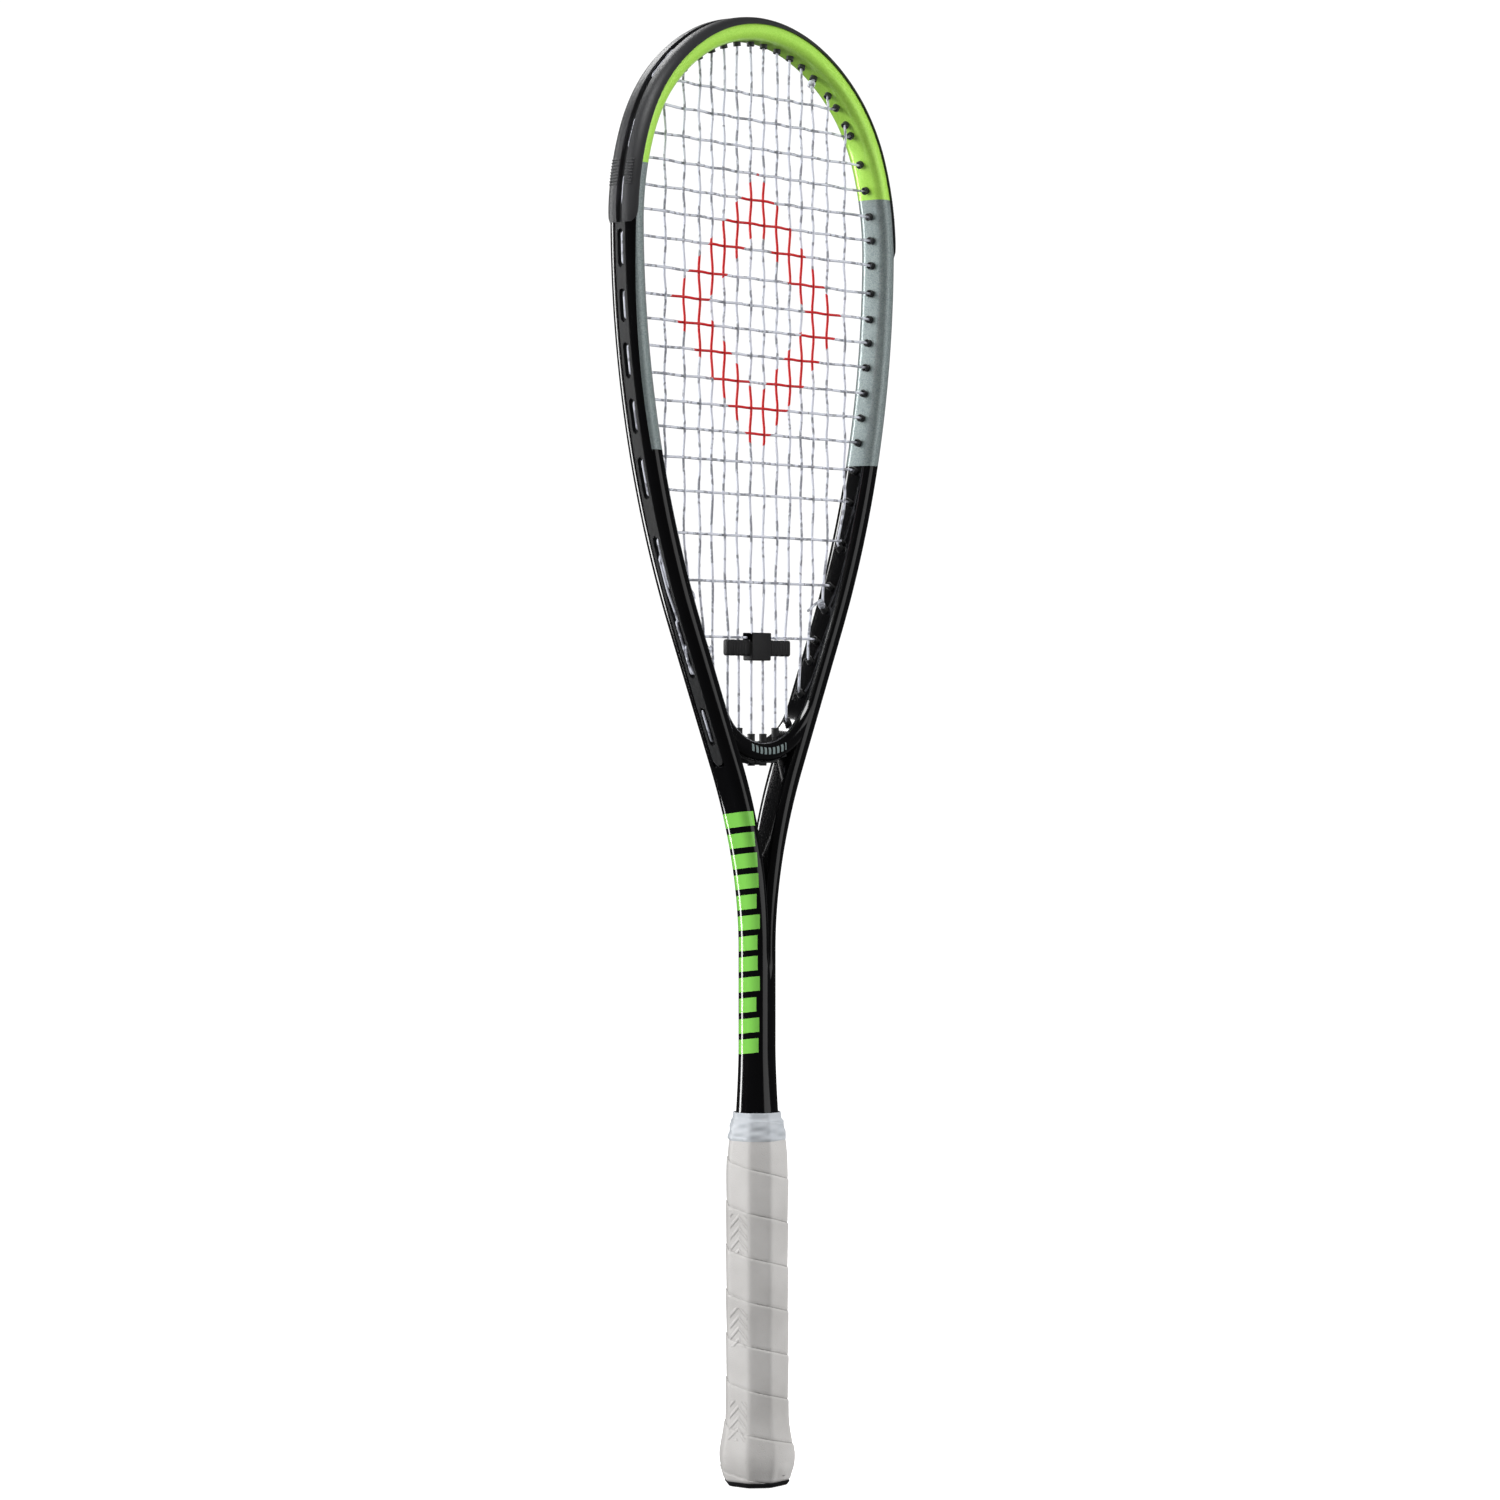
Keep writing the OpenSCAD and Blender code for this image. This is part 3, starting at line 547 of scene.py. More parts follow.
def bridge_material():
    """The frame's black lacquer with a short row of grey rungs along the front of the arch."""
    material, tree, shader, axes, cloud, black = black_lacquer("bridge lacquer")
    rise = calc(tree, "SUBTRACT", axes[2], bridge_centre.z)
    squares = calc(tree, "MULTIPLY_ADD", axes[0], axes[0], calc(tree, "MULTIPLY", rise, rise))
    from_centre = calc(tree, "SQRT", squares)
    row_radius = bridge_radius + BRIDGE_WIDE * RUNGS_MIDDLE
    rungs = product(tree, stripes(tree, axes[0], RUNG_PITCH, RUNG_SHARE),
                    calc(tree, "COMPARE", axes[0], 0.0, RUNGS_HALF),
                    calc(tree, "LESS_THAN", axes[1], RUNGS_FRONT),
                    calc(tree, "COMPARE", from_centre, row_radius, RUNG_HALF))
    colour = blend_colour(tree, rungs, black, (0.20, 0.25, 0.25, 1))
    dress(tree, shader, colour, spread(tree, cloud, 0.12, 0.17), cloud, 0.00002)
    return material


bridge_rings = []
for step in range(-BRIDGE_STEPS, BRIDGE_STEPS + 1):
    angle = BRIDGE_REACH * step / BRIDGE_STEPS
    swell = BRIDGE_SWELL * ease((abs(angle) - SWELL_FROM) / SWELL_OVER)
    groove = BRIDGE_GROOVE_DEEP * ease((BRIDGE_GROOVE_TO - abs(angle)) / 2)
    bridge_rings.append(set_out(bridge_station(angle), tube_outline(
        BRIDGE_WIDE, BRIDGE_DEEP + swell, BRIDGE_EDGE, BRIDGE_EDGE, BRIDGE_GROOVE_WIDE, groove)))
bridge_lacquer = bridge_material()
throat_bridge = make_piece("throat_bridge_lacquered", [skin(bridge_rings, ends=True)], bridge_lacquer)
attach(throat_bridge, "racket")
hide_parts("throat_bridge")

# The foam core stays inside the arch, where only its own grain needs to be right.
foam = grained_material("bridge foam", (0.50, 0.38, 0.20), (0.62, 0.50, 0.28), (0.75, 0.95), 1800, 0.0002)
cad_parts["bridge_foam_core"].data.materials.clear()
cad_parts["bridge_foam_core"].data.materials.append(foam)

# ------------------------------------------------------- holes for strings
# Each hole is a pair of points in the plane of the face: the tip of its grommet barrel inside the hoop,
# and the place of the loop outside it. The same holes serve the mouldings and both strings.
BARREL_REACH = 0.002
LONG_REACH = 0.0035
STRING_THICK = 0.00125
SLOT_FLOOR = TUBE_WIDE / 2 - GROOVE_DEEP + 0.0011
LANE = SLOT_FLOOR + STRING_THICK / 2 + 0.00005
LANE_SIDE = 0.0007
TAIL_LIFT = 0.00105
BARREL_TIP = -TUBE_WIDE / 2 - BARREL_REACH
MAINS = [(0.005, 0.0045, 0.443), (0.0152, 0.014, 0.443), (0.0252, 0.0225, 0.443), (0.0343, 0, 0.422),
         (0.0436, 0, 0.422), (0.055, 0, 0.443), (0.069, 0, 0.462)]
ARM_HOLES = [(0.359, 0.347), (0.371, 0.3615), (0.3865, 0.378), (0.411, 0.402), (0.441, 0.431)]
CROSSES = [0.6495, 0.6375, 0.6245, 0.6125, 0.6003, 0.589, 0.577, 0.5635, 0.551, 0.5395, 0.5275, 0.515, 0.503,
           0.491, 0.4775, 0.4623, 0.443, 0.4215, 0.3957]
BRIDGE_MAINS = 2
STRAIGHT_TOP = 0.397
BUMPER_CROSSES = 6
bridge_lane = bridge_radius + BRIDGE_WIDE + 0.0009


def over(x, offset):
    """Where the hoop, moved outwards by an offset, stands over x, and its heading there."""
    for radius, first, last, centre in hoop:
        if x <= centre.x + (radius + offset) * math.sin(last):
            turn = math.asin((x - centre.x) / (radius + offset))
            return centre + (radius + offset) * outward(turn), turn


def beside(z, offset):
    """Where the hoop or the arm, moved outwards by an offset, stands at a height, and its heading there."""
    for radius, first, last, centre in hoop:
        if z >= centre.z + (radius + offset) * math.cos(last):
            turn = math.acos((z - centre.z) / (radius + offset))
            return centre + (radius + offset) * outward(turn), turn
    edge = arm_end + offset * outward(arm_turn)
    return Vector((edge.x - (z - edge.z) / math.tan(arm_turn), 0, z)), arm_turn


def through(found):
    """A hole from the tip of its barrel, straight out through the tube to the lane of the loops."""
    point, turn = found
    return point, point + (LANE - BARREL_TIP) * outward(turn)


def head_hole(x):
    """The hole of a main string in the crown."""
    return through(over(x, BARREL_TIP))


def cross_hole(z):
    """The hole of a cross string in the right side of the hoop or arm."""
    return through(beside(z, BARREL_TIP))


def under_bridge(x, radius):
    """The point of a circle about the arch's centre that lies below it at a distance across."""
    return Vector((x, 0, bridge_centre.z - math.sqrt(radius * radius - x * x)))


def throat_hole(main):
    """The hole of a main's lower end: through the arch for the centre ones, else through the arm."""
    x = MAINS[main][1]
    if main < BRIDGE_MAINS:
        return under_bridge(x, bridge_radius - LONG_REACH), under_bridge(x, bridge_lane)
    inside, outside = ARM_HOLES[main - BRIDGE_MAINS]
    tip = beside(inside, BARREL_TIP)[0]
    if main == BRIDGE_MAINS:
        tip = under_bridge(x, bridge_radius - BARREL_REACH)
    return tip, beside(outside, LANE)[0]


def flipped(point):
    """A point mirrored to the other side of the face."""
    return Vector((-point.x, point.y, point.z))


# ------------------------------------------------------------ grommet barrels
# Short flexible tubes moulded with the bumper and the strips. They line the holes, and each stands a
# little proud of the inside of the hoop, where the string bends over its rounded lip.
BARREL_RADIUS = 0.00175
BORE_RADIUS = 0.0012
BARREL_LENGTH = 0.006
LONG_BARREL = 0.015
LIP_RADIUS = 0.0003
LIP_PROUD = 0.0001
LIP_PLACE = 0.47
AROUND = 20


def start_geometry(name, **sizes):
    """A Geometry Nodes tree with a geometry input, named sizes, and its output node."""
    tree = bpy.data.node_groups.new(name, "GeometryNodeTree")
    tree.interface.new_socket("Geometry", in_out="INPUT", socket_type="NodeSocketGeometry")
    for size, value in sizes.items():
        kind = "NodeSocketInt" if isinstance(value, int) else "NodeSocketFloat"
        socket = tree.interface.new_socket(size.replace("_", " "), in_out="INPUT", socket_type=kind)
        socket.default_value = value
    tree.interface.new_socket("Geometry", in_out="OUTPUT", socket_type="NodeSocketGeometry")
    return tree, tree.nodes.new("NodeGroupInput").outputs, tree.nodes.new("NodeGroupOutput").inputs


def close_geometry(tree, geometry, outlet, material):
    """Ends a tree: real instances, smooth faces, one material."""
    real = add_node(tree, "GeometryNodeRealizeInstances", {0: geometry}).outputs[0]
    smooth = add_node(tree, "GeometryNodeSetShadeSmooth", {0: real}).outputs[0]
    painted = add_node(tree, "GeometryNodeSetMaterial", {0: smooth, "Material": material}).outputs[0]
    tree.links.new(painted, outlet[0])


def grow(name, tree, source, **sizes):
    """The plain mesh that a tree makes from a source mesh, with its sizes set before it is evaluated."""
    carrier = bpy.data.objects.new(name, source)
    scene.collection.objects.link(carrier)
    growth = carrier.modifiers.new(name, "NODES")
    growth.node_group = tree
    for socket in tree.interface.items_tree:
        if socket.in_out == "INPUT" and socket.name.replace(" ", "_") in sizes:
            growth[socket.identifier] = sizes[socket.name.replace(" ", "_")]
    shaped = carrier.evaluated_get(bpy.context.evaluated_depsgraph_get())
    mesh = bpy.data.meshes.new_from_object(shaped)
    mesh.name = name
    bpy.data.objects.remove(carrier)
    return mesh


def round_curve(tree, sides, radius):
    """A circle as a curve, to sweep along or to sweep round."""
    circle = add_node(tree, "GeometryNodeCurvePrimitiveCircle", {"Resolution": sides, "Radius": radius})
    return circle.outputs[0]


def sweep(tree, path, section, caps=False):
    """The skin of a section swept along a path."""
    return add_node(tree, "GeometryNodeCurveToMesh", {0: path, 1: section, "Fill Caps": caps}).outputs[0]


def aimed_seeds(name, points, aims):
    """A mesh of loose points, each with the direction in which something stands on it."""
    seeds = bpy.data.meshes.new(name)
    seeds.from_pydata(points, [], [])
    stored = seeds.attributes.new("aim", "FLOAT_VECTOR", "POINT")
    for value, direction in zip(stored.data, aims):
        value.vector = direction
    return seeds


def stand_on_seeds(tree, seeds, stander, across=False):
    """Copies that stand on seeds along their aim, turned to lie across the racket where asked."""
    aim = add_node(tree, "GeometryNodeInputNamedAttribute", {0: "aim"}, data_type="FLOAT_VECTOR").outputs[0]
    heading = add_node(tree, "FunctionNodeAlignRotationToVector", {"Vector": aim}, axis="Z").outputs[0]
    if across:
        heading = add_node(tree, "FunctionNodeAlignRotationToVector",
                           {"Rotation": heading, "Vector": (0, 1, 0)}, axis="Y", pivot_axis="Z").outputs[0]
    spots = add_node(tree, "GeometryNodeMeshToPoints", {0: seeds}).outputs[0]
    return add_node(tree, "GeometryNodeInstanceOnPoints",
                    {"Points": spots, "Instance": stander, "Rotation": heading}).outputs[0]


moulding = grained_material("grommet moulding", (0.012, 0.0125, 0.0135), (0.02, 0.021, 0.022),
                            (0.42, 0.58), 1500, 0.00005)
barrel_tree, barrel_in, barrel_out = start_geometry(
    "grommet barrels", Outer_Radius=BARREL_RADIUS, Bore_Radius=BORE_RADIUS,
    Barrel_Length=BARREL_LENGTH, Lip=LIP_RADIUS)
middle = calc(barrel_tree, "MULTIPLY", calc(barrel_tree, "ADD", barrel_in[1], barrel_in[2]), 0.5)
wall = calc(barrel_tree, "SUBTRACT", barrel_in[1], barrel_in[2])
slab = add_node(barrel_tree, "GeometryNodeCurvePrimitiveQuadrilateral",
                {"Width": wall, "Height": barrel_in[3]}).outputs[0]
slab_edge = calc(barrel_tree, "MULTIPLY", wall, 0.45)
slab = add_node(barrel_tree, "GeometryNodeFilletCurve",
                {"Curve": slab, "Count": 3, "Radius": slab_edge}, mode="POLY").outputs[0]
tube = sweep(barrel_tree, round_curve(barrel_tree, AROUND, middle), slab)
collar_loop = round_curve(barrel_tree, AROUND, calc(barrel_tree, "ADD", middle, LIP_PROUD))
collar = sweep(barrel_tree, collar_loop, round_curve(barrel_tree, 8, barrel_in[4]))
to_tip = calc(barrel_tree, "MULTIPLY", barrel_in[3], LIP_PLACE)
rise = add_node(barrel_tree, "ShaderNodeCombineXYZ", {2: to_tip}).outputs[0]
collar = add_node(barrel_tree, "GeometryNodeTransform", {"Geometry": collar, "Translation": rise}).outputs[0]
barrel_join = add_node(barrel_tree, "GeometryNodeJoinGeometry")
barrel_tree.links.new(tube, barrel_join.inputs[0])
barrel_tree.links.new(collar, barrel_join.inputs[0])
stood = stand_on_seeds(barrel_tree, barrel_in[0], barrel_join.outputs[0])
close_geometry(barrel_tree, stood, barrel_out, moulding)


def barrels(name, holes, length=BARREL_LENGTH):
    """The barrels of a list of holes, with their tips at the holes' inner points."""
    aims = [(inside - outside).normalized() for inside, outside in holes]
    middles = [hole[0] - aim * length / 2 for hole, aim in zip(holes, aims)]
    return grow(name, barrel_tree, aimed_seeds(name + " seeds", middles, aims), Barrel_Length=length)


def both(holes):
    """Holes on one side with their mirrored twins."""
    return holes + [(flipped(inside), flipped(outside)) for inside, outside in holes]


def join_meshes(piece, *others):
    """Adds other meshes to a piece's own mesh."""
    work = bmesh.new()
    work.from_mesh(piece.data)
    for mesh in others:
        work.from_mesh(mesh)
    work.to_mesh(piece.data)
    work.free()
    return piece


# ------------------------------------------------------------- bumper guard
# A nylon moulding pressed over the crown of the hoop. It caps the outside of the tube, fills the groove
# and carries the loops of string in a channel. Its ends are round tongues with plain ribs beside them.
BUMPER_PROUD = 0.001
BUMPER_REACH = 0.0025
CHANNEL_WIDE = 0.0032
TONGUE = 0.008
FIT = 0.00005
LIP_CUT = 0.0002
GROOVE_KEY = TUBE_WIDE / 2 - GROOVE_DEEP + FIT
RIB_LENGTH = 0.0042
RIB_RADIUS = 0.00035
RIB_PITCH = 0.0014
RIB_COUNT = 9
RIBS_FOOT = 0.5985
RIBS_ACROSS = 0.0042


def bumper_outline(reach, proud, channel):
    """One closed section of the bumper: outer skin, channel for the loops, and the key in the groove."""
    one_edge = slice(2, 3 + EDGE_STEPS)
    grown = 2 * proud
    loose = 2 * FIT
    outer = tube_outline(TUBE_WIDE + grown, TUBE_DEEP + grown, TUBE_EDGE + proud, TUBE_EDGE, 0, 0)[one_edge]
    inner = tube_outline(TUBE_WIDE + loose, TUBE_DEEP + loose, TUBE_EDGE, TUBE_EDGE, 0, 0)[one_edge]
    side = channel / 2
    lip = outer[0][0]
    half = [(SLOT_FLOOR, side), (lip - LIP_CUT, side), (lip, side + LIP_CUT)]
    half += [(max(u, reach), y if u > reach else outer_depth(outer, reach)) for u, y in outer]
    half += [(max(u, reach), y if u > reach else outer_depth(inner, reach)) for u, y in reversed(inner)]
    half += [(inner[0][0], GROOVE_WIDE / 2 - FIT), (GROOVE_KEY, GROOVE_WIDE / 2 - FIT)]
    return half + [(u, -y) for u, y in reversed(half)]


def outer_depth(arc, reach):
    """How far across an edge stands where it reaches a distance outwards."""
    for (u1, y1), (u2, y2) in zip(arc, arc[1:]):
        if u1 >= reach >= u2:
            return y1 + (y2 - y1) * (u1 - reach) / max(1e-9, u1 - u2)
    return arc[-1][1]


crown = hoop_stations[:crown_stations]
run = sum((b[0] - a[0]).length for a, b in zip(crown, crown[1:]))
bumper_rings = []
gone = 0.0
for number, station in enumerate(crown):
    if number:
        gone += (station[0] - crown[number - 1][0]).length
    left = max(0.0, min(TONGUE, run - gone))
    round_off = 1 - math.sqrt(max(0.0, 1 - (1 - left / TONGUE) ** 2))
    reach = BUMPER_REACH + (TUBE_WIDE / 2 - BUMPER_REACH - 0.0004) * round_off
    proud = BUMPER_PROUD * (1 - 0.6 * round_off)
    bumper_rings.append(set_out(station, bumper_outline(reach, proud, CHANNEL_WIDE)))
end_face = (bumper_rings[-1], [tuple(range(len(bumper_rings[-1])))])
bumper_plastic = grained_material("bumper plastic", (0.030, 0.031, 0.034), (0.044, 0.045, 0.048),
                                  (0.38, 0.55), 1300, 0.00006)
bumper = make_piece("bumper_moulding", [skin(bumper_rings), end_face], bumper_plastic,
                    mirrored=True, cut=False)
bumper_holes = [head_hole(main[0]) for main in MAINS] + [cross_hole(z) for z in CROSSES[:BUMPER_CROSSES]]
rib_tree, rib_in, rib_out = start_geometry("bumper ribs", Rib_Length=RIB_LENGTH, Rib_Radius=RIB_RADIUS)
rib_line = add_node(rib_tree, "ShaderNodeCombineXYZ", {1: rib_in[1]}).outputs[0]
rib_start, rib_end = (
    add_node(rib_tree, "ShaderNodeVectorMath", {0: rib_line, "Scale": share}, operation="SCALE").outputs[0]
    for share in (-0.5, 0.5))
rib_axis = add_node(rib_tree, "GeometryNodeCurvePrimitiveLine",
                    {"Start": rib_start, "End": rib_end}).outputs[0]
rib_bar = sweep(rib_tree, rib_axis, round_curve(rib_tree, 8, rib_in[2]), caps=True)
close_geometry(rib_tree, stand_on_seeds(rib_tree, rib_in[0], rib_bar, across=True), rib_out, bumper_plastic)
rib_points = []
rib_aims = []
for number in range(RIB_COUNT):
    point, turn = beside(RIBS_FOOT + RIB_PITCH * number, TUBE_WIDE / 2 + BUMPER_PROUD - 2 * FIT)
    for across in (-RIBS_ACROSS, RIBS_ACROSS):
        for mirror in (1, -1):
            rib_points.append(Vector((point.x * mirror, across, point.z)))
            rib_aims.append(Vector((outward(turn).x * mirror, 0, outward(turn).z)))
join_meshes(bumper, barrels("bumper barrels", both(bumper_holes)),
            grow("bumper ribs", rib_tree, aimed_seeds("rib seeds", rib_points, rib_aims)))
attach(bumper, "racket")
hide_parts("bumper_guard")

# ------------------------------------------------------- side grommet strips
# Two nylon strips that lie in the groove from the bumper's ends down to the feet of the arms. Round-ended
# slots in their faces hold the loops, one row apart on the two sides, since one string zigzags over them.
STRIP_WIDE = 0.0063
STRIP_FACE = TUBE_WIDE / 2 + 2 * FIT
STRIP_EDGE = 0.0004
SLOT_WIDE = 0.0032
FINER = 4


def along_line(point, first, second):
    """How far a point lies along the line from the first to the second, and how long that line is."""
    line = second - first
    return (point - first).dot(line) / line.length, line.length


def strip_stations():
    """The stations of a strip from the bumper's end to the arm's foot, set closer than the hoop's own."""
    stations = hoop_stations[crown_stations - 1:] + arm_stations
    fine = []
    for (a, turn_a), (b, turn_b) in zip(stations, stations[1:]):
        fine += [(a.lerp(b, k / FINER), turn_a + (turn_b - turn_a) * k / FINER) for k in range(FINER)]
    return fine + [stations[-1]]


def half_slot_at(point, slots):
    """Half the width of the round-ended slots at a point of the lane, or 0 between them."""
    half_slot = 0.0
    for first, second in slots:
        at_length, length = along_line(point, first, second)
        beyond = max(-at_length, at_length - length, 0.0)
        if beyond < SLOT_WIDE / 2:
            half_slot = max(half_slot, math.sqrt((SLOT_WIDE / 2) ** 2 - beyond ** 2))
    return half_slot


def strip_rings(slots):
    """The sections of a strip, with slots sunk into its face and a rounded foot."""
    rings = []
    stations = strip_stations()
    foot = stations[-1][0]
    for station in stations:
        half_slot = half_slot_at(station[0] + LANE * outward(station[1]), slots)
        sunk = STRIP_FACE - SLOT_FLOOR if half_slot > 0 else 0.0
        to_foot = (station[0] - foot).length - STRIP_SHORT
        if to_foot < 0:
            break
        half_wide = STRIP_WIDE / 2
        if to_foot < half_wide:
            half_wide = max(STRIP_EDGE, math.sqrt(half_wide ** 2 - (half_wide - to_foot) ** 2))
        edge = min(STRIP_EDGE, half_wide / 2)
        half_slot = min(half_slot, half_wide)
        half = [(STRIP_FACE - sunk, half_slot), (STRIP_FACE, half_slot), (STRIP_FACE, half_wide - edge),
                (STRIP_FACE - edge, half_wide), (GROOVE_KEY, half_wide)]
        rings.append(set_out(station, half + [(u, -y) for u, y in reversed(half)]))
    return rings


def strip_holes():
    """The holes whose barrels one side strip carries."""
    rows = [cross_hole(z) for z in CROSSES[BUMPER_CROSSES:]]
    return rows + [throat_hole(main) for main in range(BRIDGE_MAINS, len(MAINS))]


for side, first_row, strip_name in ((-1, 6, "grommet_strip_left"), (1, 7, "grommet_strip_right")):
    pairs = [(cross_hole(CROSSES[row])[1], cross_hole(CROSSES[row + 1])[1])
             for row in range(first_row, len(CROSSES) - 1, 2)]
    if first_row == 6:
        pairs.append((cross_hole(CROSSES[-1])[1], throat_hole(4)[1]))
    pairs += [(throat_hole(upper)[1], throat_hole(lower)[1]) for upper, lower in ((3, 2), (5, 4), (6, 5))]
    rings = strip_rings(pairs)
    holes = strip_holes()
    if side < 0:
        rings = [[flipped(point) for point in ring] for ring in rings]
        holes = [(flipped(inside), flipped(outside)) for inside, outside in holes]
    strip = make_piece(strip_name + "_moulding", [skin(rings, ends=True)], moulding, sharp=30)
    join_meshes(strip, barrels(strip_name + " barrels", holes))
    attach(strip, "racket")
    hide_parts(strip_name)

# ------------------------------------------------------ throat grommet strip
# A short strip under the arch that carries the four long barrels of the centre mains. Its lower face
# waves between them, and the loops of the centre mains lie against it.
THROAT_SPAN = 23.3
THROAT_STEPS = 60
THROAT_TOP = -0.001
THROAT_LOW = 0.0006
THROAT_WAVE = 0.0004
THROAT_PITCH = 0.0047
THROAT_HALF = 0.0033
THROAT_CUT = (0.0003, 0.0004)
throat_rings = []
for step in range(-THROAT_STEPS, THROAT_STEPS + 1):
    angle = THROAT_SPAN * step / THROAT_STEPS
    run = math.radians(angle) * (bridge_radius + BRIDGE_WIDE)
    low = THROAT_LOW + THROAT_WAVE * math.cos(run / THROAT_PITCH * math.pi)
    cut_down, cut_in = THROAT_CUT
    half = [(THROAT_TOP, THROAT_HALF), (low, THROAT_HALF), (low + cut_down, THROAT_HALF - cut_in)]
    throat_rings.append(set_out(bridge_station(angle, bridge_radius + BRIDGE_WIDE),
                                half + [(u, -y) for u, y in reversed(half)]))
throat_strip = make_piece("throat_grommet_moulding", [skin(throat_rings, ends=True)], moulding)
throat_holes = both([throat_hole(main) for main in range(BRIDGE_MAINS)])
join_meshes(throat_strip, barrels("throat barrels", throat_holes, LONG_BARREL))
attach(throat_strip, "racket")
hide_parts("throat_grommet_strip")

# ----------------------------------------------------------------- strings
# Two lengths of twisted multifilament nylon. The main string runs seven times up and down each side of
# the centre, and the cross string is woven over and under it. The red mark is stencilled on after.
MAIN_WAVE = 0.00042
CROSS_WAVE = 0.00093
TIGHT = 0.0014
LOOSE = 0.05
LEAST_STEP = 0.0002
STENCIL_MIDDLE = 0.5475
STENCIL_WIDE = 0.068
STENCIL_HIGH = 0.066
STENCIL_RING = 0.80
STENCIL_BAND = 0.20


def main_x(main, z):
    """How far a main string stands from the middle of the face at a height."""
    top_x, foot_x, bend = MAINS[main]
    low = throat_hole(main)[0]
    foot = low.z
    if main <= BRIDGE_MAINS:
        foot = STRAIGHT_TOP
    else:
        foot_x = low.x
    return top_x + (foot_x - top_x) * min(1.0, max(0.0, (bend - z) / (bend - foot)))


def reaches(main, z):
    """Whether a main string passes a height between its two barrels."""
    return throat_hole(main)[0].z < z < head_hole(MAINS[main][0])[0].z


def over_or_under(row, main, side):
    """1 where the cross string lies behind the main string, and -1 where it lies in front."""
    count = main + 1 if side > 0 else -main
    return 1 if (row + count) % 2 == 0 else -1


def at(point, across, side, softness=TIGHT):
    """A corner of a string's line, on one side of the face, with how softly it bends."""
    return Vector((point.x * side, across, point.z)), softness


def strand(main, side):
    """One main from the loop over the head to the loop under the throat."""
    head = head_hole(MAINS[main][0])
    low = throat_hole(main)
    line = [at(head[1], LANE_SIDE, side), at(head[0], 0, side)]
    for row, z in enumerate(CROSSES):
        if reaches(main, z):
            swing = -2 * MAIN_WAVE * over_or_under(row, main, side)
            line.append(at(Vector((main_x(main, z), 0, z)), swing, side, LOOSE))
    if main <= BRIDGE_MAINS:
        line.append(at(Vector((MAINS[main][1], 0, STRAIGHT_TOP - 0.006)), 0, side, LOOSE))
    return line + [at(low[0], 0, side), at(low[1], LANE_SIDE, side)]


def half_mains(side):
    """The mains of one side from the middle outwards, with their loops and the tied tail."""
    line = []
    for main in range(len(MAINS)):
        down = strand(main, side)
        line += down if main % 2 == 0 else down[::-1]
        if main % 2 == 1 and main < len(MAINS) - 1:
            x = (MAINS[main][0] + MAINS[main + 1][0]) / 2 + 0.004 * (main + 1) / len(MAINS)
            line.append(at(over(x, LANE)[0], LANE_SIDE, side))
    low = throat_hole(len(MAINS) - 1)[1]
    tie = throat_hole(len(MAINS) - 2)
    lifted = (low + tie[1]) / 2 + TAIL_LIFT * outward(arm_turn)
    return line + [at(lifted, 0, side), at(tie[1], -LANE_SIDE, side), at(tie[0], -LANE_SIDE, side)]


def cross_row(row):
    """One row of the cross string from the left lane to the right, woven round the mains."""
    z = CROSSES[row]
    hole = cross_hole(z)
    line = [at(hole[1], -LANE_SIDE, -1), at(hole[0], 0, -1)]
    for side, order in ((-1, reversed(range(len(MAINS)))), (1, range(len(MAINS)))):
        for main in order:
            if reaches(main, z):
                swing = 2 * CROSS_WAVE * over_or_under(row, main, side)
                line.append(at(Vector((main_x(main, z), 0, z)), swing, side, LOOSE))
    return line + [at(hole[0], 0, 1), at(hole[1], -LANE_SIDE, 1)]


def cross_line():
    """The whole cross string, from its tie at the crown down to its tie at the throat."""
    start = head_hole(MAINS[4][0])
    turn = over(MAINS[5][0], LANE)[1]
    arc = next(a for a in hoop if a[1] <= turn <= a[2])
    lifted = arc[3] + (arc[0] + LANE + TAIL_LIFT) * outward(turn)
    line = [at(start[0], -LANE_SIDE, 1), at(start[1], -LANE_SIDE, 1), at(lifted, 0, 1)]
    for row in range(len(CROSSES)):
        line += cross_row(row)[::-1] if row % 2 == 0 else cross_row(row)
    end = throat_hole(4)
    low = cross_hole(CROSSES[-1])[1]
    lifted = (low + end[1]) / 2 + TAIL_LIFT * outward(arm_turn)
    return line + [at(lifted, 0, -1), at(end[1], -LANE_SIDE, -1), at(end[0], -LANE_SIDE, -1)]


def rounded_line(line, steps=4):
    """A line with its corners rounded, each within its own softness."""
    points = [line[0][0]]
    for (before, _), (corner, soft), (after, _) in zip(line, line[1:], line[2:]):
        back = before - corner
        ahead = after - corner
        start = corner + back.normalized() * min(soft, back.length / 2)
        end = corner + ahead.normalized() * min(soft, ahead.length / 2)
        for k in range(steps + 1):
            t = k / steps
            points.append(start * (1 - t) ** 2 + corner * 2 * t * (1 - t) + end * t * t)
    points.append(line[-1][0])
    kept = [points[0]]
    for point in points[1:]:
        if (point - kept[-1]).length > LEAST_STEP:
            kept.append(point)
    return kept


def stencil_mask(tree, axes):
    """The stencilled mark: a broad diamond ring over the middle of the face."""
    across = calc(tree, "DIVIDE", calc(tree, "ABSOLUTE", axes[0]), STENCIL_WIDE)
    from_middle = calc(tree, "ABSOLUTE", calc(tree, "SUBTRACT", axes[2], STENCIL_MIDDLE))
    up = calc(tree, "DIVIDE", from_middle, STENCIL_HIGH)
    return calc(tree, "COMPARE", calc(tree, "ADD", across, up), STENCIL_RING, STENCIL_BAND)


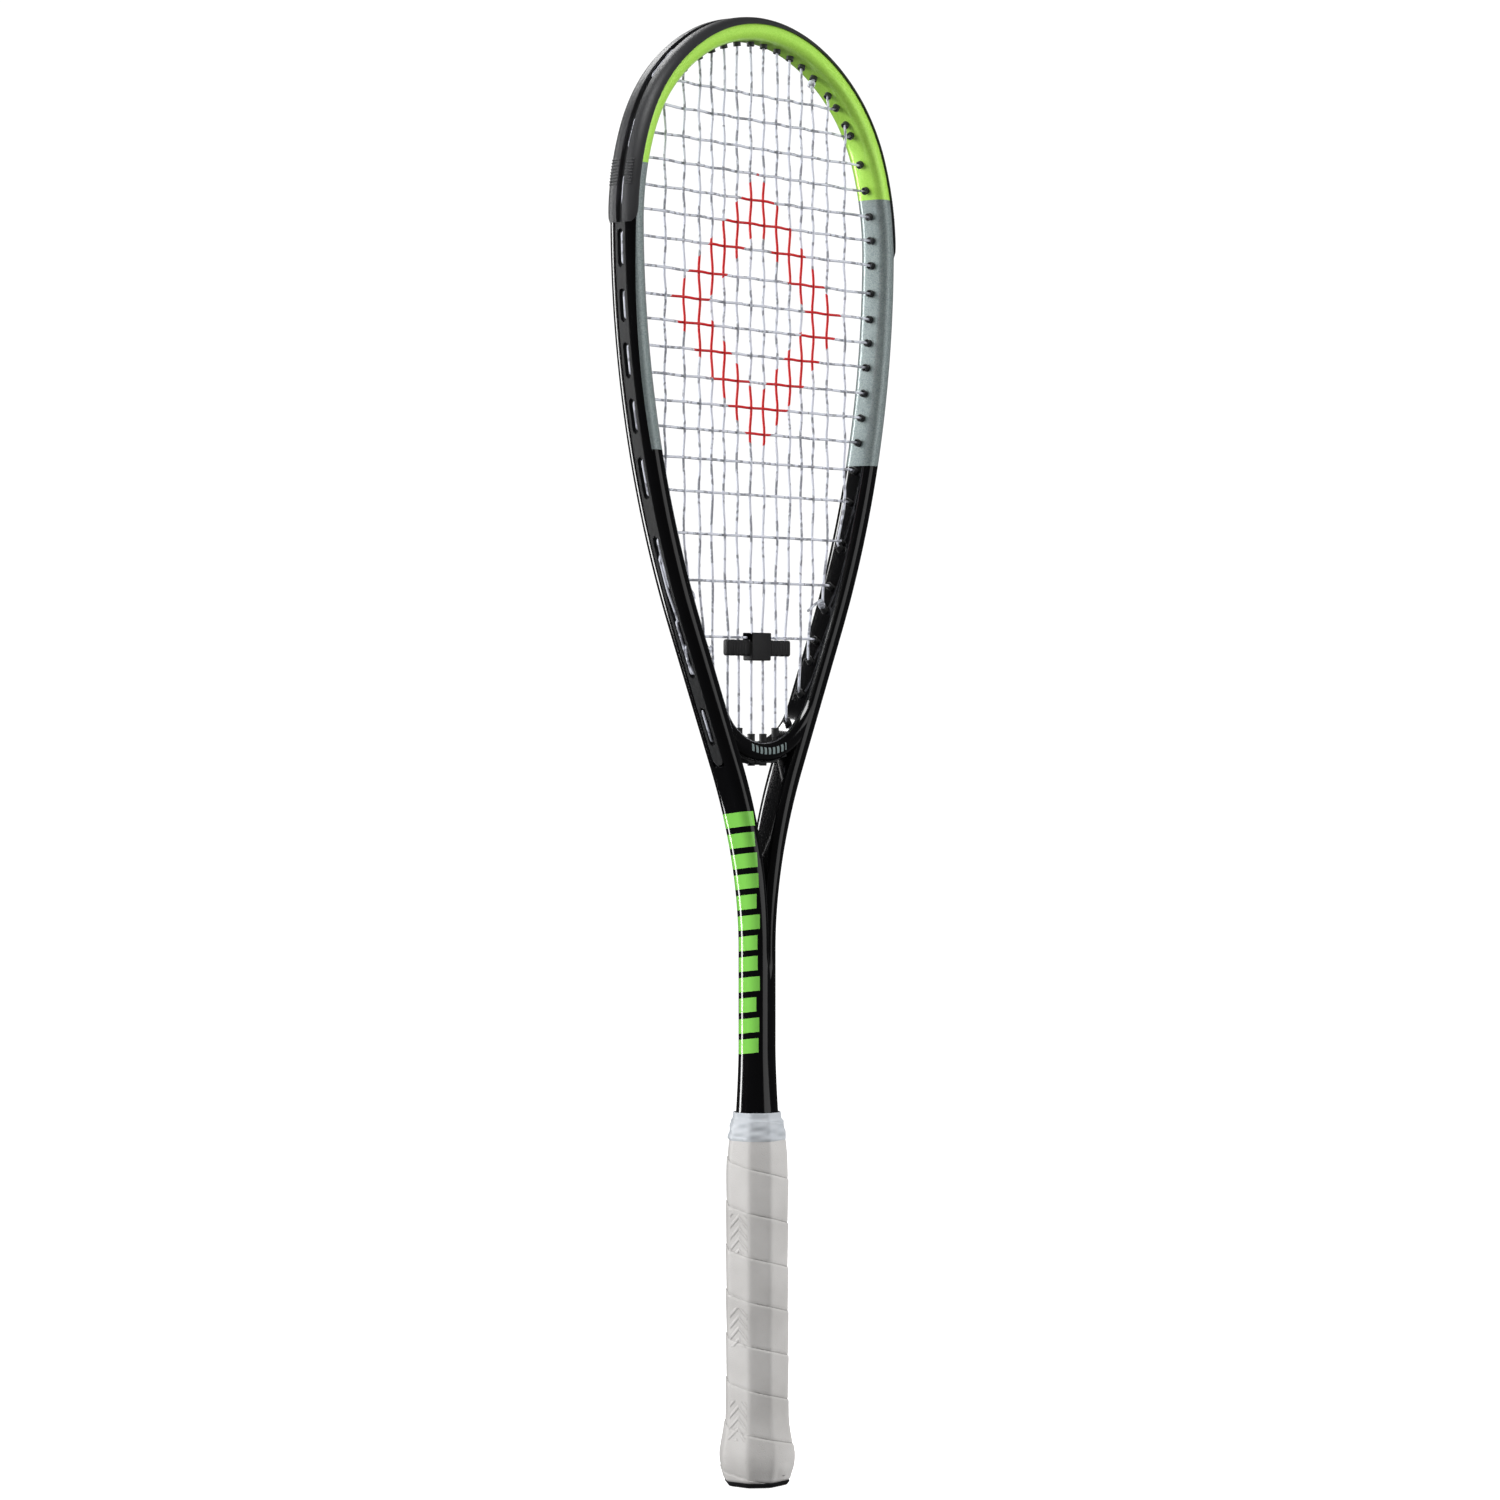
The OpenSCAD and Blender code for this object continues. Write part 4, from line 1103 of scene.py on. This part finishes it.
def nylon_material():
    """Pale nylon with the relief of its twist, painted shade as dark lines in the twist's grooves, and the
    red mark over it.
    """
    material, tree, shader = start_material(
        "nylon string", Specular_IOR_Level=0.6, Coat_Weight=0.25, Coat_Roughness=0.2)
    twist_and_shade = add_node(tree, "ShaderNodeTexWave", {
        "Vector": place(tree), "Scale": 30.0, "Distortion": 9.0, "Detail": 3.0, "Detail Scale": 5.0},
        wave_type="BANDS", bands_direction="DIAGONAL").outputs["Fac"]
    # Painted shade: the colour darkens where the twist's relief is low, in its grooves.
    colour = blend_colour(tree, ramp(tree, twist_and_shade, 0.05, 0.45), (0.30, 0.31, 0.35, 1), (0.70, 0.72, 0.80, 1))
    colour = blend_colour(tree, stencil_mask(tree, own_axes(tree)), colour, (0.66, 0.008, 0.012, 1))
    dress(tree, shader, colour, spread(tree, twist_and_shade, 0.28, 0.42), twist_and_shade, 0.00004)
    return material


string_material = nylon_material()
cord_tree, cord_in, cord_out = start_geometry("string", String_Radius=STRING_THICK / 2, Sides=10)
cord_path = add_node(cord_tree, "GeometryNodeMeshToCurve", {0: cord_in[0]}).outputs[0]
cord_skin = sweep(cord_tree, cord_path, round_curve(cord_tree, cord_in[2], cord_in[1]), caps=True)
close_geometry(cord_tree, cord_skin, cord_out, string_material)


def string_mesh(name, points):
    """A string's mesh along a line of points."""
    path = bpy.data.meshes.new(name + " path")
    path.from_pydata(points, [(k, k + 1) for k in range(len(points) - 1)], [])
    return grow(name, cord_tree, path, String_Radius=STRING_THICK / 2, Sides=10)


main_line = rounded_line(half_mains(-1)[::-1] + half_mains(1))
main_string = finish_piece("main_string_woven", string_mesh("main string", main_line), string_material, 60)
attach(main_string, "racket")
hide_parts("main_string")
cross_string = finish_piece("cross_string_woven", string_mesh("cross string", rounded_line(cross_line())),
                            string_material, 60)
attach(cross_string, "racket")
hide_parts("cross_string")


# Each end of a string is tied off round its neighbour against a barrel's tip: nearly three tight turns,
# and a short tail that stands out of the knot.
KNOT_STEPS = 43
KNOT_AROUND = 16
KNOT_START = 0.0007
KNOT_PITCH = 0.0011
KNOT_RADIUS = 0.00118


def knot_mesh(name, hole, tail):
    """The neighbour's short length inside a knot, and the turns and tail round it."""
    inside, outside = hole
    axis = (inside - outside).normalized()
    side = axis.cross(Vector((0, 1, 0))).normalized()
    core = string_mesh(name + " core", [inside - axis * 0.001 + Vector((0, -LANE_SIDE, 0)),
                                        inside + axis * 0.0034 + Vector((0, -0.0001, 0))])
    turns = []
    for k in range(KNOT_STEPS):
        angle = 2 * math.pi * k / KNOT_AROUND
        ring = side * math.cos(angle) + Vector((0, 1, 0)) * math.sin(angle)
        turns.append(inside + axis * (KNOT_START + KNOT_PITCH * k / KNOT_AROUND) + ring * KNOT_RADIUS)
    turns.append(turns[-1] + (tail * 0.35 + axis * 0.001))
    turns.append(turns[-1] + tail * 0.65)
    return core, string_mesh(name, turns)


main_ties = [(throat_hole(5), Vector((-0.0130, -0.002, -0.0060))),
             (tuple(flipped(p) for p in throat_hole(5)), Vector((0.002, 0.004, 0.003)))]
cross_ties = [(head_hole(MAINS[4][0]), Vector((-0.002, -0.003, -0.003))),
              (tuple(flipped(p) for p in throat_hole(4)), Vector((0.003, 0.003, 0.002)))]
for knots_name, ties in (("main_string_knots", main_ties), ("cross_string_knots", cross_ties)):
    meshes = [mesh for hole, tail in ties for mesh in knot_mesh(knots_name, hole, tail)]
    knots = finish_piece(knots_name + "_tied", meshes[0], string_material, 60)
    join_meshes(knots, *meshes[1:])
    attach(knots, "racket")
    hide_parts(knots_name)

# ---------------------------------------------------------------- dampener
# A black rubber damper pushed on to the six centre mains just under the lowest cross. Its block stands
# before and behind that cross, and its two wings have ribs where they grip the strings.
DAMPENER_Z = 0.3915
DAMPENER_BLOCK = (0.0144, 0.0058, 0.013)
BLOCK_EDGE = 0.0006
WING_WIDE = 0.048
WING_DEEP = 0.0034
WING_HIGH = 0.0076
WING_DROP = 0.0006
WING_EDGE = 0.0009
WING_END = 0.0012
WING_STEPS = 110
GRIP_RIB_PITCH = 0.0042
GRIP_RIB_DEPTH = 0.34
GRIP_RIBS = (0.0074, 0.0228)
NOTCH_WIDE = 0.0044
NOTCH_FLOOR = DAMPENER_Z + 0.0028
rubber = grained_material("damper rubber", (0.011, 0.011, 0.012), (0.02, 0.02, 0.021),
                          (0.45, 0.62), 1700, 0.00006)


def rounded_rectangle(wide, high, edge, steps=4):
    """The points of a rectangle with round corners."""
    points = []
    for quarter, (sx, sz) in enumerate(((1, 1), (-1, 1), (-1, -1), (1, -1))):
        corner_x = sx * (wide / 2 - edge)
        corner_z = sz * (high / 2 - edge)
        for k in range(steps + 1):
            a = math.pi / 2 * (quarter + k / steps)
            points.append((corner_x + edge * math.cos(a), corner_z + edge * math.sin(a)))
    return points


wing_rings = []
for step in range(-WING_STEPS, WING_STEPS + 1):
    x = WING_WIDE / 2 * step / WING_STEPS
    to_end = WING_WIDE / 2 - abs(x)
    round_end = min(1.0, math.sqrt(max(0.02, 1 - (1 - min(1.0, to_end / WING_END)) ** 2)))
    rib = 0.5 + 0.5 * math.cos(2 * math.pi * x / GRIP_RIB_PITCH)
    shrink = (1 - GRIP_RIB_DEPTH * ease(rib)) if GRIP_RIBS[0] < abs(x) < GRIP_RIBS[1] else 1.0
    outline = rounded_rectangle(WING_DEEP * shrink * (0.7 + 0.3 * round_end),
                                WING_HIGH * (0.75 + 0.25 * shrink) * (0.8 + 0.2 * round_end), WING_EDGE)
    wing_rings.append([Vector((x, y, DAMPENER_Z - WING_DROP + z)) for y, z in outline])
wide, deep, high = DAMPENER_BLOCK
bottom = DAMPENER_Z - high / 2
top = bottom + high
profile = [(-deep / 2, bottom), (deep / 2, bottom), (deep / 2, top), (NOTCH_WIDE / 2, top),
           (NOTCH_WIDE / 2, NOTCH_FLOOR), (-NOTCH_WIDE / 2, NOTCH_FLOOR), (-NOTCH_WIDE / 2, top),
           (-deep / 2, top)]
block_rings = [[Vector((x, y, z)) for y, z in profile] for x in (-wide / 2, wide / 2)]
block_points, block_faces = skin(block_rings, ends=True)
block_mesh = bpy.data.meshes.new("dampener block")
block_mesh.from_pydata(block_points, [], block_faces)
rounding = bmesh.new()
rounding.from_mesh(block_mesh)
bmesh.ops.recalc_face_normals(rounding, faces=rounding.faces)
bmesh.ops.bevel(rounding, geom=rounding.edges[:], offset=BLOCK_EDGE, segments=3, profile=0.5, affect="EDGES")
rounding.to_mesh(block_mesh)
rounding.free()
dampener = make_piece("dampener_rubber_block", [skin(wing_rings, ends=True)], rubber)
join_meshes(dampener, block_mesh)
dampener.data.shade_smooth()
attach(dampener, "dampener")
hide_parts("dampener")

# ------------------------------------------------------------------ handle
# A foam pallet bonded on the shaft gives the grip its eight flats. A tack and two staples hold the wrap
# and the butt cap on it, and an underlay tape lies between. All of them are hidden under the wrap.
hidden_finishes = [
    ("handle_pallet", "pallet foam", (0.60, 0.52, 0.34), (0.74, 0.68, 0.50), (0.8, 0.95), 1500, 0.0002, 0.0),
    ("underlay_tape", "underlay tape", (0.62, 0.56, 0.42), (0.72, 0.66, 0.5), (0.5, 0.7), 900, 0.0001, 0.0),
    ("butt_cap_staples", "staple wire", (0.5, 0.5, 0.52), (0.62, 0.62, 0.64), (0.25, 0.4), 4000, 0.00002,
     1.0),
    ("grip_tack", "tack steel", (0.42, 0.42, 0.44), (0.58, 0.58, 0.6), (0.3, 0.45), 4000, 0.00002, 1.0),
]
for node_name, finish_name, dark, light, rough, grain_scale, depth, metallic in hidden_finishes:
    finish = grained_material(finish_name, dark, light, rough, grain_scale, depth, Metallic=metallic)
    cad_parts[node_name].data.materials.clear()
    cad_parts[node_name].data.materials.append(finish)

# ---------------------------------------------------------------- butt cap
# A black moulded cap over the foot of the pallet. It flares to the wide end of the grip under the wrap,
# and its flat foot, with a sunk panel and a rim, is what the racket stands on.
GRIP_WIDE = 0.0284
GRIP_DEEP = 0.027
WRAP_THICK = 0.0017
GRIP_FOOT = 0.0022
GRIP_TOP = 0.166
GRIP_LEVELS = [(GRIP_FOOT, 0.0012), (0.006, 0.0042), (0.012, 0.0066), (0.017, 0.0056), (0.022, 0.0034),
               (0.030, 0.0008), (0.040, 0.0002), (0.090, 0), (0.145, 0), (0.156, -0.0012),
               (GRIP_TOP, -0.004)]
FLAT_SHARE = 0.275
GRIP_POINTS = 96
CAP_UNDER_WRAP = 0.0035
CAP_BORE = (0.0244, 0.023)
CAP_PANEL = (0.014, 0.014)


def octagon_radius(angle, wide, deep, roundness=34):
    """The radius of an octagon with round corners, at an angle from +X."""
    bevel = min(wide, deep) * FLAT_SHARE
    slant = (wide / 2 + deep / 2 - bevel) / math.sqrt(2)
    total = 0.0
    for number in range(8):
        reach = (wide / 2, slant, deep / 2, slant)[number % 4]
        toward = math.cos(angle - number * math.pi / 4)
        if toward > 0:
            total += (toward / reach) ** roundness
    return total ** (-1 / roundness)


def octagon_ring(z, wide, deep, added=lambda angle, z: 0.0, count=GRIP_POINTS):
    """A level ring of points on the handle's octagon, with a relief added to its radius."""
    ring = []
    for k in range(count):
        angle = 2 * math.pi * k / count
        radius = octagon_radius(angle, wide, deep) + added(angle, z)
        ring.append(Vector((radius * math.cos(angle), radius * math.sin(angle), z)))
    return ring


def grip_added(z):
    """How much wider than its straight part the grip is at a height, eased between its levels."""
    for (z1, a1), (z2, a2) in zip(GRIP_LEVELS, GRIP_LEVELS[1:]):
        if z <= z2:
            return a1 + (a2 - a1) * max(0.0, (z - z1) / (z2 - z1))
    return GRIP_LEVELS[-1][1]


def smooth_added(z):
    """The grip's added width, averaged over a few millimetres so that its outline has no corners."""
    near = [grip_added(min(GRIP_TOP, max(GRIP_FOOT, z + d))) for d in (-0.003, -0.0015, 0, 0.0015, 0.003)]
    return sum(near) / len(near)


cap_plastic = grained_material("cap plastic", (0.010, 0.010, 0.011), (0.018, 0.018, 0.019),
                               (0.35, 0.5), 1200, 0.00005)
cap_levels = [(0.0012, *CAP_PANEL), (0.0012, 0.0215, 0.0205), (0.0003, 0.0222, 0.0212),
              (0.0, 0.0228, 0.0218), (0.0, 0.0270, 0.0256), (0.0004, 0.0278, 0.0264),
              (0.0012, 0.0290, 0.0276), (0.0019, 0.0295, 0.0281)]
for z in (0.0021, 0.004, 0.006, 0.009, 0.012, 0.017, 0.022, 0.030):
    added = grip_added(z)
    cap_levels.append((z, GRIP_WIDE + added - CAP_UNDER_WRAP, GRIP_DEEP + added - CAP_UNDER_WRAP))
cap_levels += [(0.0305, *CAP_BORE), (0.0029, *CAP_BORE), (0.0029, *CAP_PANEL)]
cap_rings = [octagon_ring(*level) for level in cap_levels]
butt_cap = make_piece("butt_cap_moulded", [skin(cap_rings, ends=True)], cap_plastic, sharp=50)
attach(butt_cap, "racket")
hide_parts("butt_cap")

# --------------------------------------------------------------- grip wrap
# A strip of off-white polyurethane leather, wound up the handle in a spiral whose turns overlap a little.
# It has fine pores, a worn bloom, and soft pressed ridges in short groups on its left flat.
WRAP_PITCH = 0.0206
WRAP_PHASE = 0.242
WRAP_ROWS = 300
SEAM_STEP = 0.00042
SEAM_WIDE = 0.05
SEAM_PINCH = 0.00042
EDGE_PINCH = 0.0002
EDGE_WIDE = 0.03
TACK_BEARING = 1.5 * math.pi
TACK_LEVEL = 0.007
TACK_BUMP = 0.0005
RIM_EDGE = 0.0008
# Where the painted seam shadow fades out on the brighter-lit left flat.
SEAM_SHADOW_FADE = (-0.0142, -0.0112)
SEAM_TOP = 0.163
RIDGE_PITCH = 0.0052
RIDGE_FLAT = -0.0125
RIDGE_HALF = 0.0050
RIDGES_MIDDLE = 0.076
RIDGES_HALF = 0.056
GROUP_PITCH = 0.0435
GROUP_START = 0.0219
GROUP_SHARE = 0.42


def hump(away, half_wide):
    """A rounded bump of 1 in its middle and 0 beyond its half width."""
    return max(0.0, 1 - (away / half_wide) ** 2)


def seam_relief(angle, z):
    """The shingled turns of the wrap: each starts low beside a narrow seam and rises to its far edge."""
    turn = (z / WRAP_PITCH + angle / (2 * math.pi) + WRAP_PHASE) % 1.0
    slope = SEAM_STEP * (turn - 0.5)
    pinch = -SEAM_PINCH * max(0.0, 1 - turn / SEAM_WIDE) - EDGE_PINCH * max(0.0, 1 - (1 - turn) / EDGE_WIDE)
    swell = 0.00008 * math.sin(3 * angle + 70 * z)
    over_tack = hump(angle - TACK_BEARING, 0.26) * hump(z - TACK_LEVEL, 0.0042)
    return slope + pinch * (1 - over_tack) + swell - 0.0001 + TACK_BUMP * over_tack


def seam_shadow_mask(tree, axes):
    """Painted shadow: a dark line beside each seam where the next turn overlaps, faded on the brighter-lit
    left flat and stopped under the tape.
    """
    around = calc(tree, "ARCTAN2", axes[1], axes[0])
    turn = calc(tree, "MULTIPLY_ADD", around, 1 / (2 * math.pi), WRAP_PHASE)
    turn = calc(tree, "FRACT", calc(tree, "MULTIPLY_ADD", axes[2], 1 / WRAP_PITCH, turn))
    return product(tree, ramp(tree, turn, 0.0, SEAM_WIDE * 0.7, 0.75, 0.0),
                   calc(tree, "LESS_THAN", axes[2], SEAM_TOP),
                   ramp(tree, axes[0], *SEAM_SHADOW_FADE, 0.25, 1.0))


def ridge_height(tree, axes):
    """Soft pressed chevrons up the left flat, in short groups."""
    slanted = calc(tree, "ADD", axes[2], calc(tree, "ABSOLUTE", axes[1]))
    wave = calc(tree, "SINE", calc(tree, "MULTIPLY", slanted, 2 * math.pi / RIDGE_PITCH))
    group = calc(tree, "MULTIPLY_ADD", axes[2], 1 / GROUP_PITCH, -GROUP_START / GROUP_PITCH)
    return product(tree, calc(tree, "MAXIMUM", wave, 0.0),
                   calc(tree, "LESS_THAN", axes[0], RIDGE_FLAT),
                   calc(tree, "COMPARE", axes[1], 0.0, RIDGE_HALF),
                   calc(tree, "LESS_THAN", calc(tree, "FRACT", group), GROUP_SHARE),
                   calc(tree, "COMPARE", axes[2], RIDGES_MIDDLE, RIDGES_HALF))


def leather_material():
    """Off-white leather with pores, a worn bloom, a painted shadow beside each seam and the pressed ridges.
    """
    material, tree, shader = start_material(
        "grip leather", Specular_IOR_Level=0.35, Sheen_Weight=0.15, Sheen_Roughness=0.5)
    cells = add_node(tree, "ShaderNodeTexVoronoi", {"Vector": place(tree), "Scale": 950.0})
    pores = ramp(tree, cells.outputs["Distance"], 0.0, 0.35)
    bloom = grain(tree, 34, 4.0)
    axes = own_axes(tree)
    colour = blend_colour(tree, bloom, (0.47, 0.455, 0.44, 1), (0.80, 0.785, 0.77, 1))
    # Painted shadow beside each seam, fainter on the brighter-lit left flat.
    colour = blend_colour(tree, seam_shadow_mask(tree, axes), colour, (0.10, 0.095, 0.09, 1))
    height = calc(tree, "MULTIPLY_ADD", ridge_height(tree, axes), 5.0, pores)
    dress(tree, shader, colour, spread(tree, bloom, 0.48, 0.66), height, 0.00008)
    return material


wrap_levels = [GRIP_FOOT + (GRIP_TOP - GRIP_FOOT) * k / WRAP_ROWS for k in range(WRAP_ROWS + 1)]
wrap_rings = []
for z in wrap_levels:
    added = smooth_added(z)
    rim = RIM_EDGE * (1 - ease((z - GRIP_FOOT) / 0.0012))
    wrap_rings.append(octagon_ring(z, GRIP_WIDE + added - 2 * rim, GRIP_DEEP + added - 2 * rim, seam_relief))
for z in reversed(wrap_levels[::15]):
    added = smooth_added(z) - 2 * WRAP_THICK
    wrap_rings.append(octagon_ring(z, GRIP_WIDE + added, GRIP_DEEP + added))
wrap_rings.append(wrap_rings[0])
leather = leather_material()
grip_wrap = make_piece("grip_wrap_leather", [skin(wrap_rings)], leather, sharp=75)
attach(grip_wrap, "racket")
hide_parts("grip_wrap")

# ---------------------------------------------------------- finishing tape
# A soft bluish white tape wound over the top edge of the wrap. Its first turn lies on the shaft as a
# narrow ring, and the next one slants down over the shoulder in shallow folds.
TAPE_FOOT = 0.1610
TAPE_TOP = 0.1740
TAPE_LEVELS = [(TAPE_FOOT, 0.0264, 0.0250), (0.1635, 0.0259, 0.0245), (0.1660, 0.0250, 0.0236),
               (0.1685, 0.0243, 0.0231), (0.1702, 0.0237, 0.0227), (0.1710, 0.0224, 0.0217),
               (0.1716, 0.0218, 0.0214), (0.1738, 0.0216, 0.0212), (TAPE_TOP, 0.0214, 0.0210)]
TAPE_INSIDE = [(TAPE_TOP, 0.0203, 0.0203), (0.1661, 0.0206, 0.0204), (0.16605, 0.0245, 0.0231),
               (TAPE_FOOT, 0.0259, 0.0245)]
TAPE_ROWS = 6
TAPE_PITCH = 0.0105
TAPE_PHASE = 0.12
TAPE_STEP = 0.00035
TAPE_SLANT = 0.0011
SLANT_OVER = 0.008
FOLDS_TOP = 0.1712


def fold_relief(angle, z):
    """Shallow folds that slant across the tape, and the step of its overlap."""
    turn = (z / TAPE_PITCH + angle / (2 * math.pi) + TAPE_PHASE) % 1.0
    folds = 0.0002 * math.sin(3 * angle + 1100 * z) + 0.00009 * math.sin(7 * angle - 1500 * z)
    fade = ease((FOLDS_TOP - z) / 0.002)
    return folds * fade + (TAPE_STEP * turn - 0.0001) * fade


def tape_material():
    """Soft bluish white cloth tape with a very fine grain."""
    material, tree, shader = start_material("finishing tape", Specular_IOR_Level=0.45)
    cloud = grain(tree, 160, 3.0)
    fine = grain(tree, 2600, 2.0)
    colour = blend_colour(tree, cloud, (0.52, 0.56, 0.60, 1), (0.68, 0.705, 0.74, 1))
    dress(tree, shader, colour, spread(tree, fine, 0.38, 0.5), fine, 0.00003)
    return material


tape_rings = []
for (z1, w1, d1), (z2, w2, d2) in zip(TAPE_LEVELS, TAPE_LEVELS[1:]):
    for k in range(TAPE_ROWS):
        t = k / TAPE_ROWS
        z = z1 + (z2 - z1) * t
        slant = TAPE_SLANT * (1 - ease((z - TAPE_FOOT) / SLANT_OVER))
        ring = octagon_ring(z, w1 + (w2 - w1) * t, d1 + (d2 - d1) * t, fold_relief)
        for point in ring:
            point.z += slant * (0.5 - point.x * 36 - point.y * 12)
        tape_rings.append(ring)
tape_rings += [octagon_ring(*level) for level in TAPE_INSIDE]
tape_rings.append(tape_rings[0])
tape_cloth = tape_material()
finishing_tape = make_piece("finishing_tape_wound", [skin(tape_rings)], tape_cloth, sharp=60)
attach(finishing_tape, "racket")
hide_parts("finishing_tape")
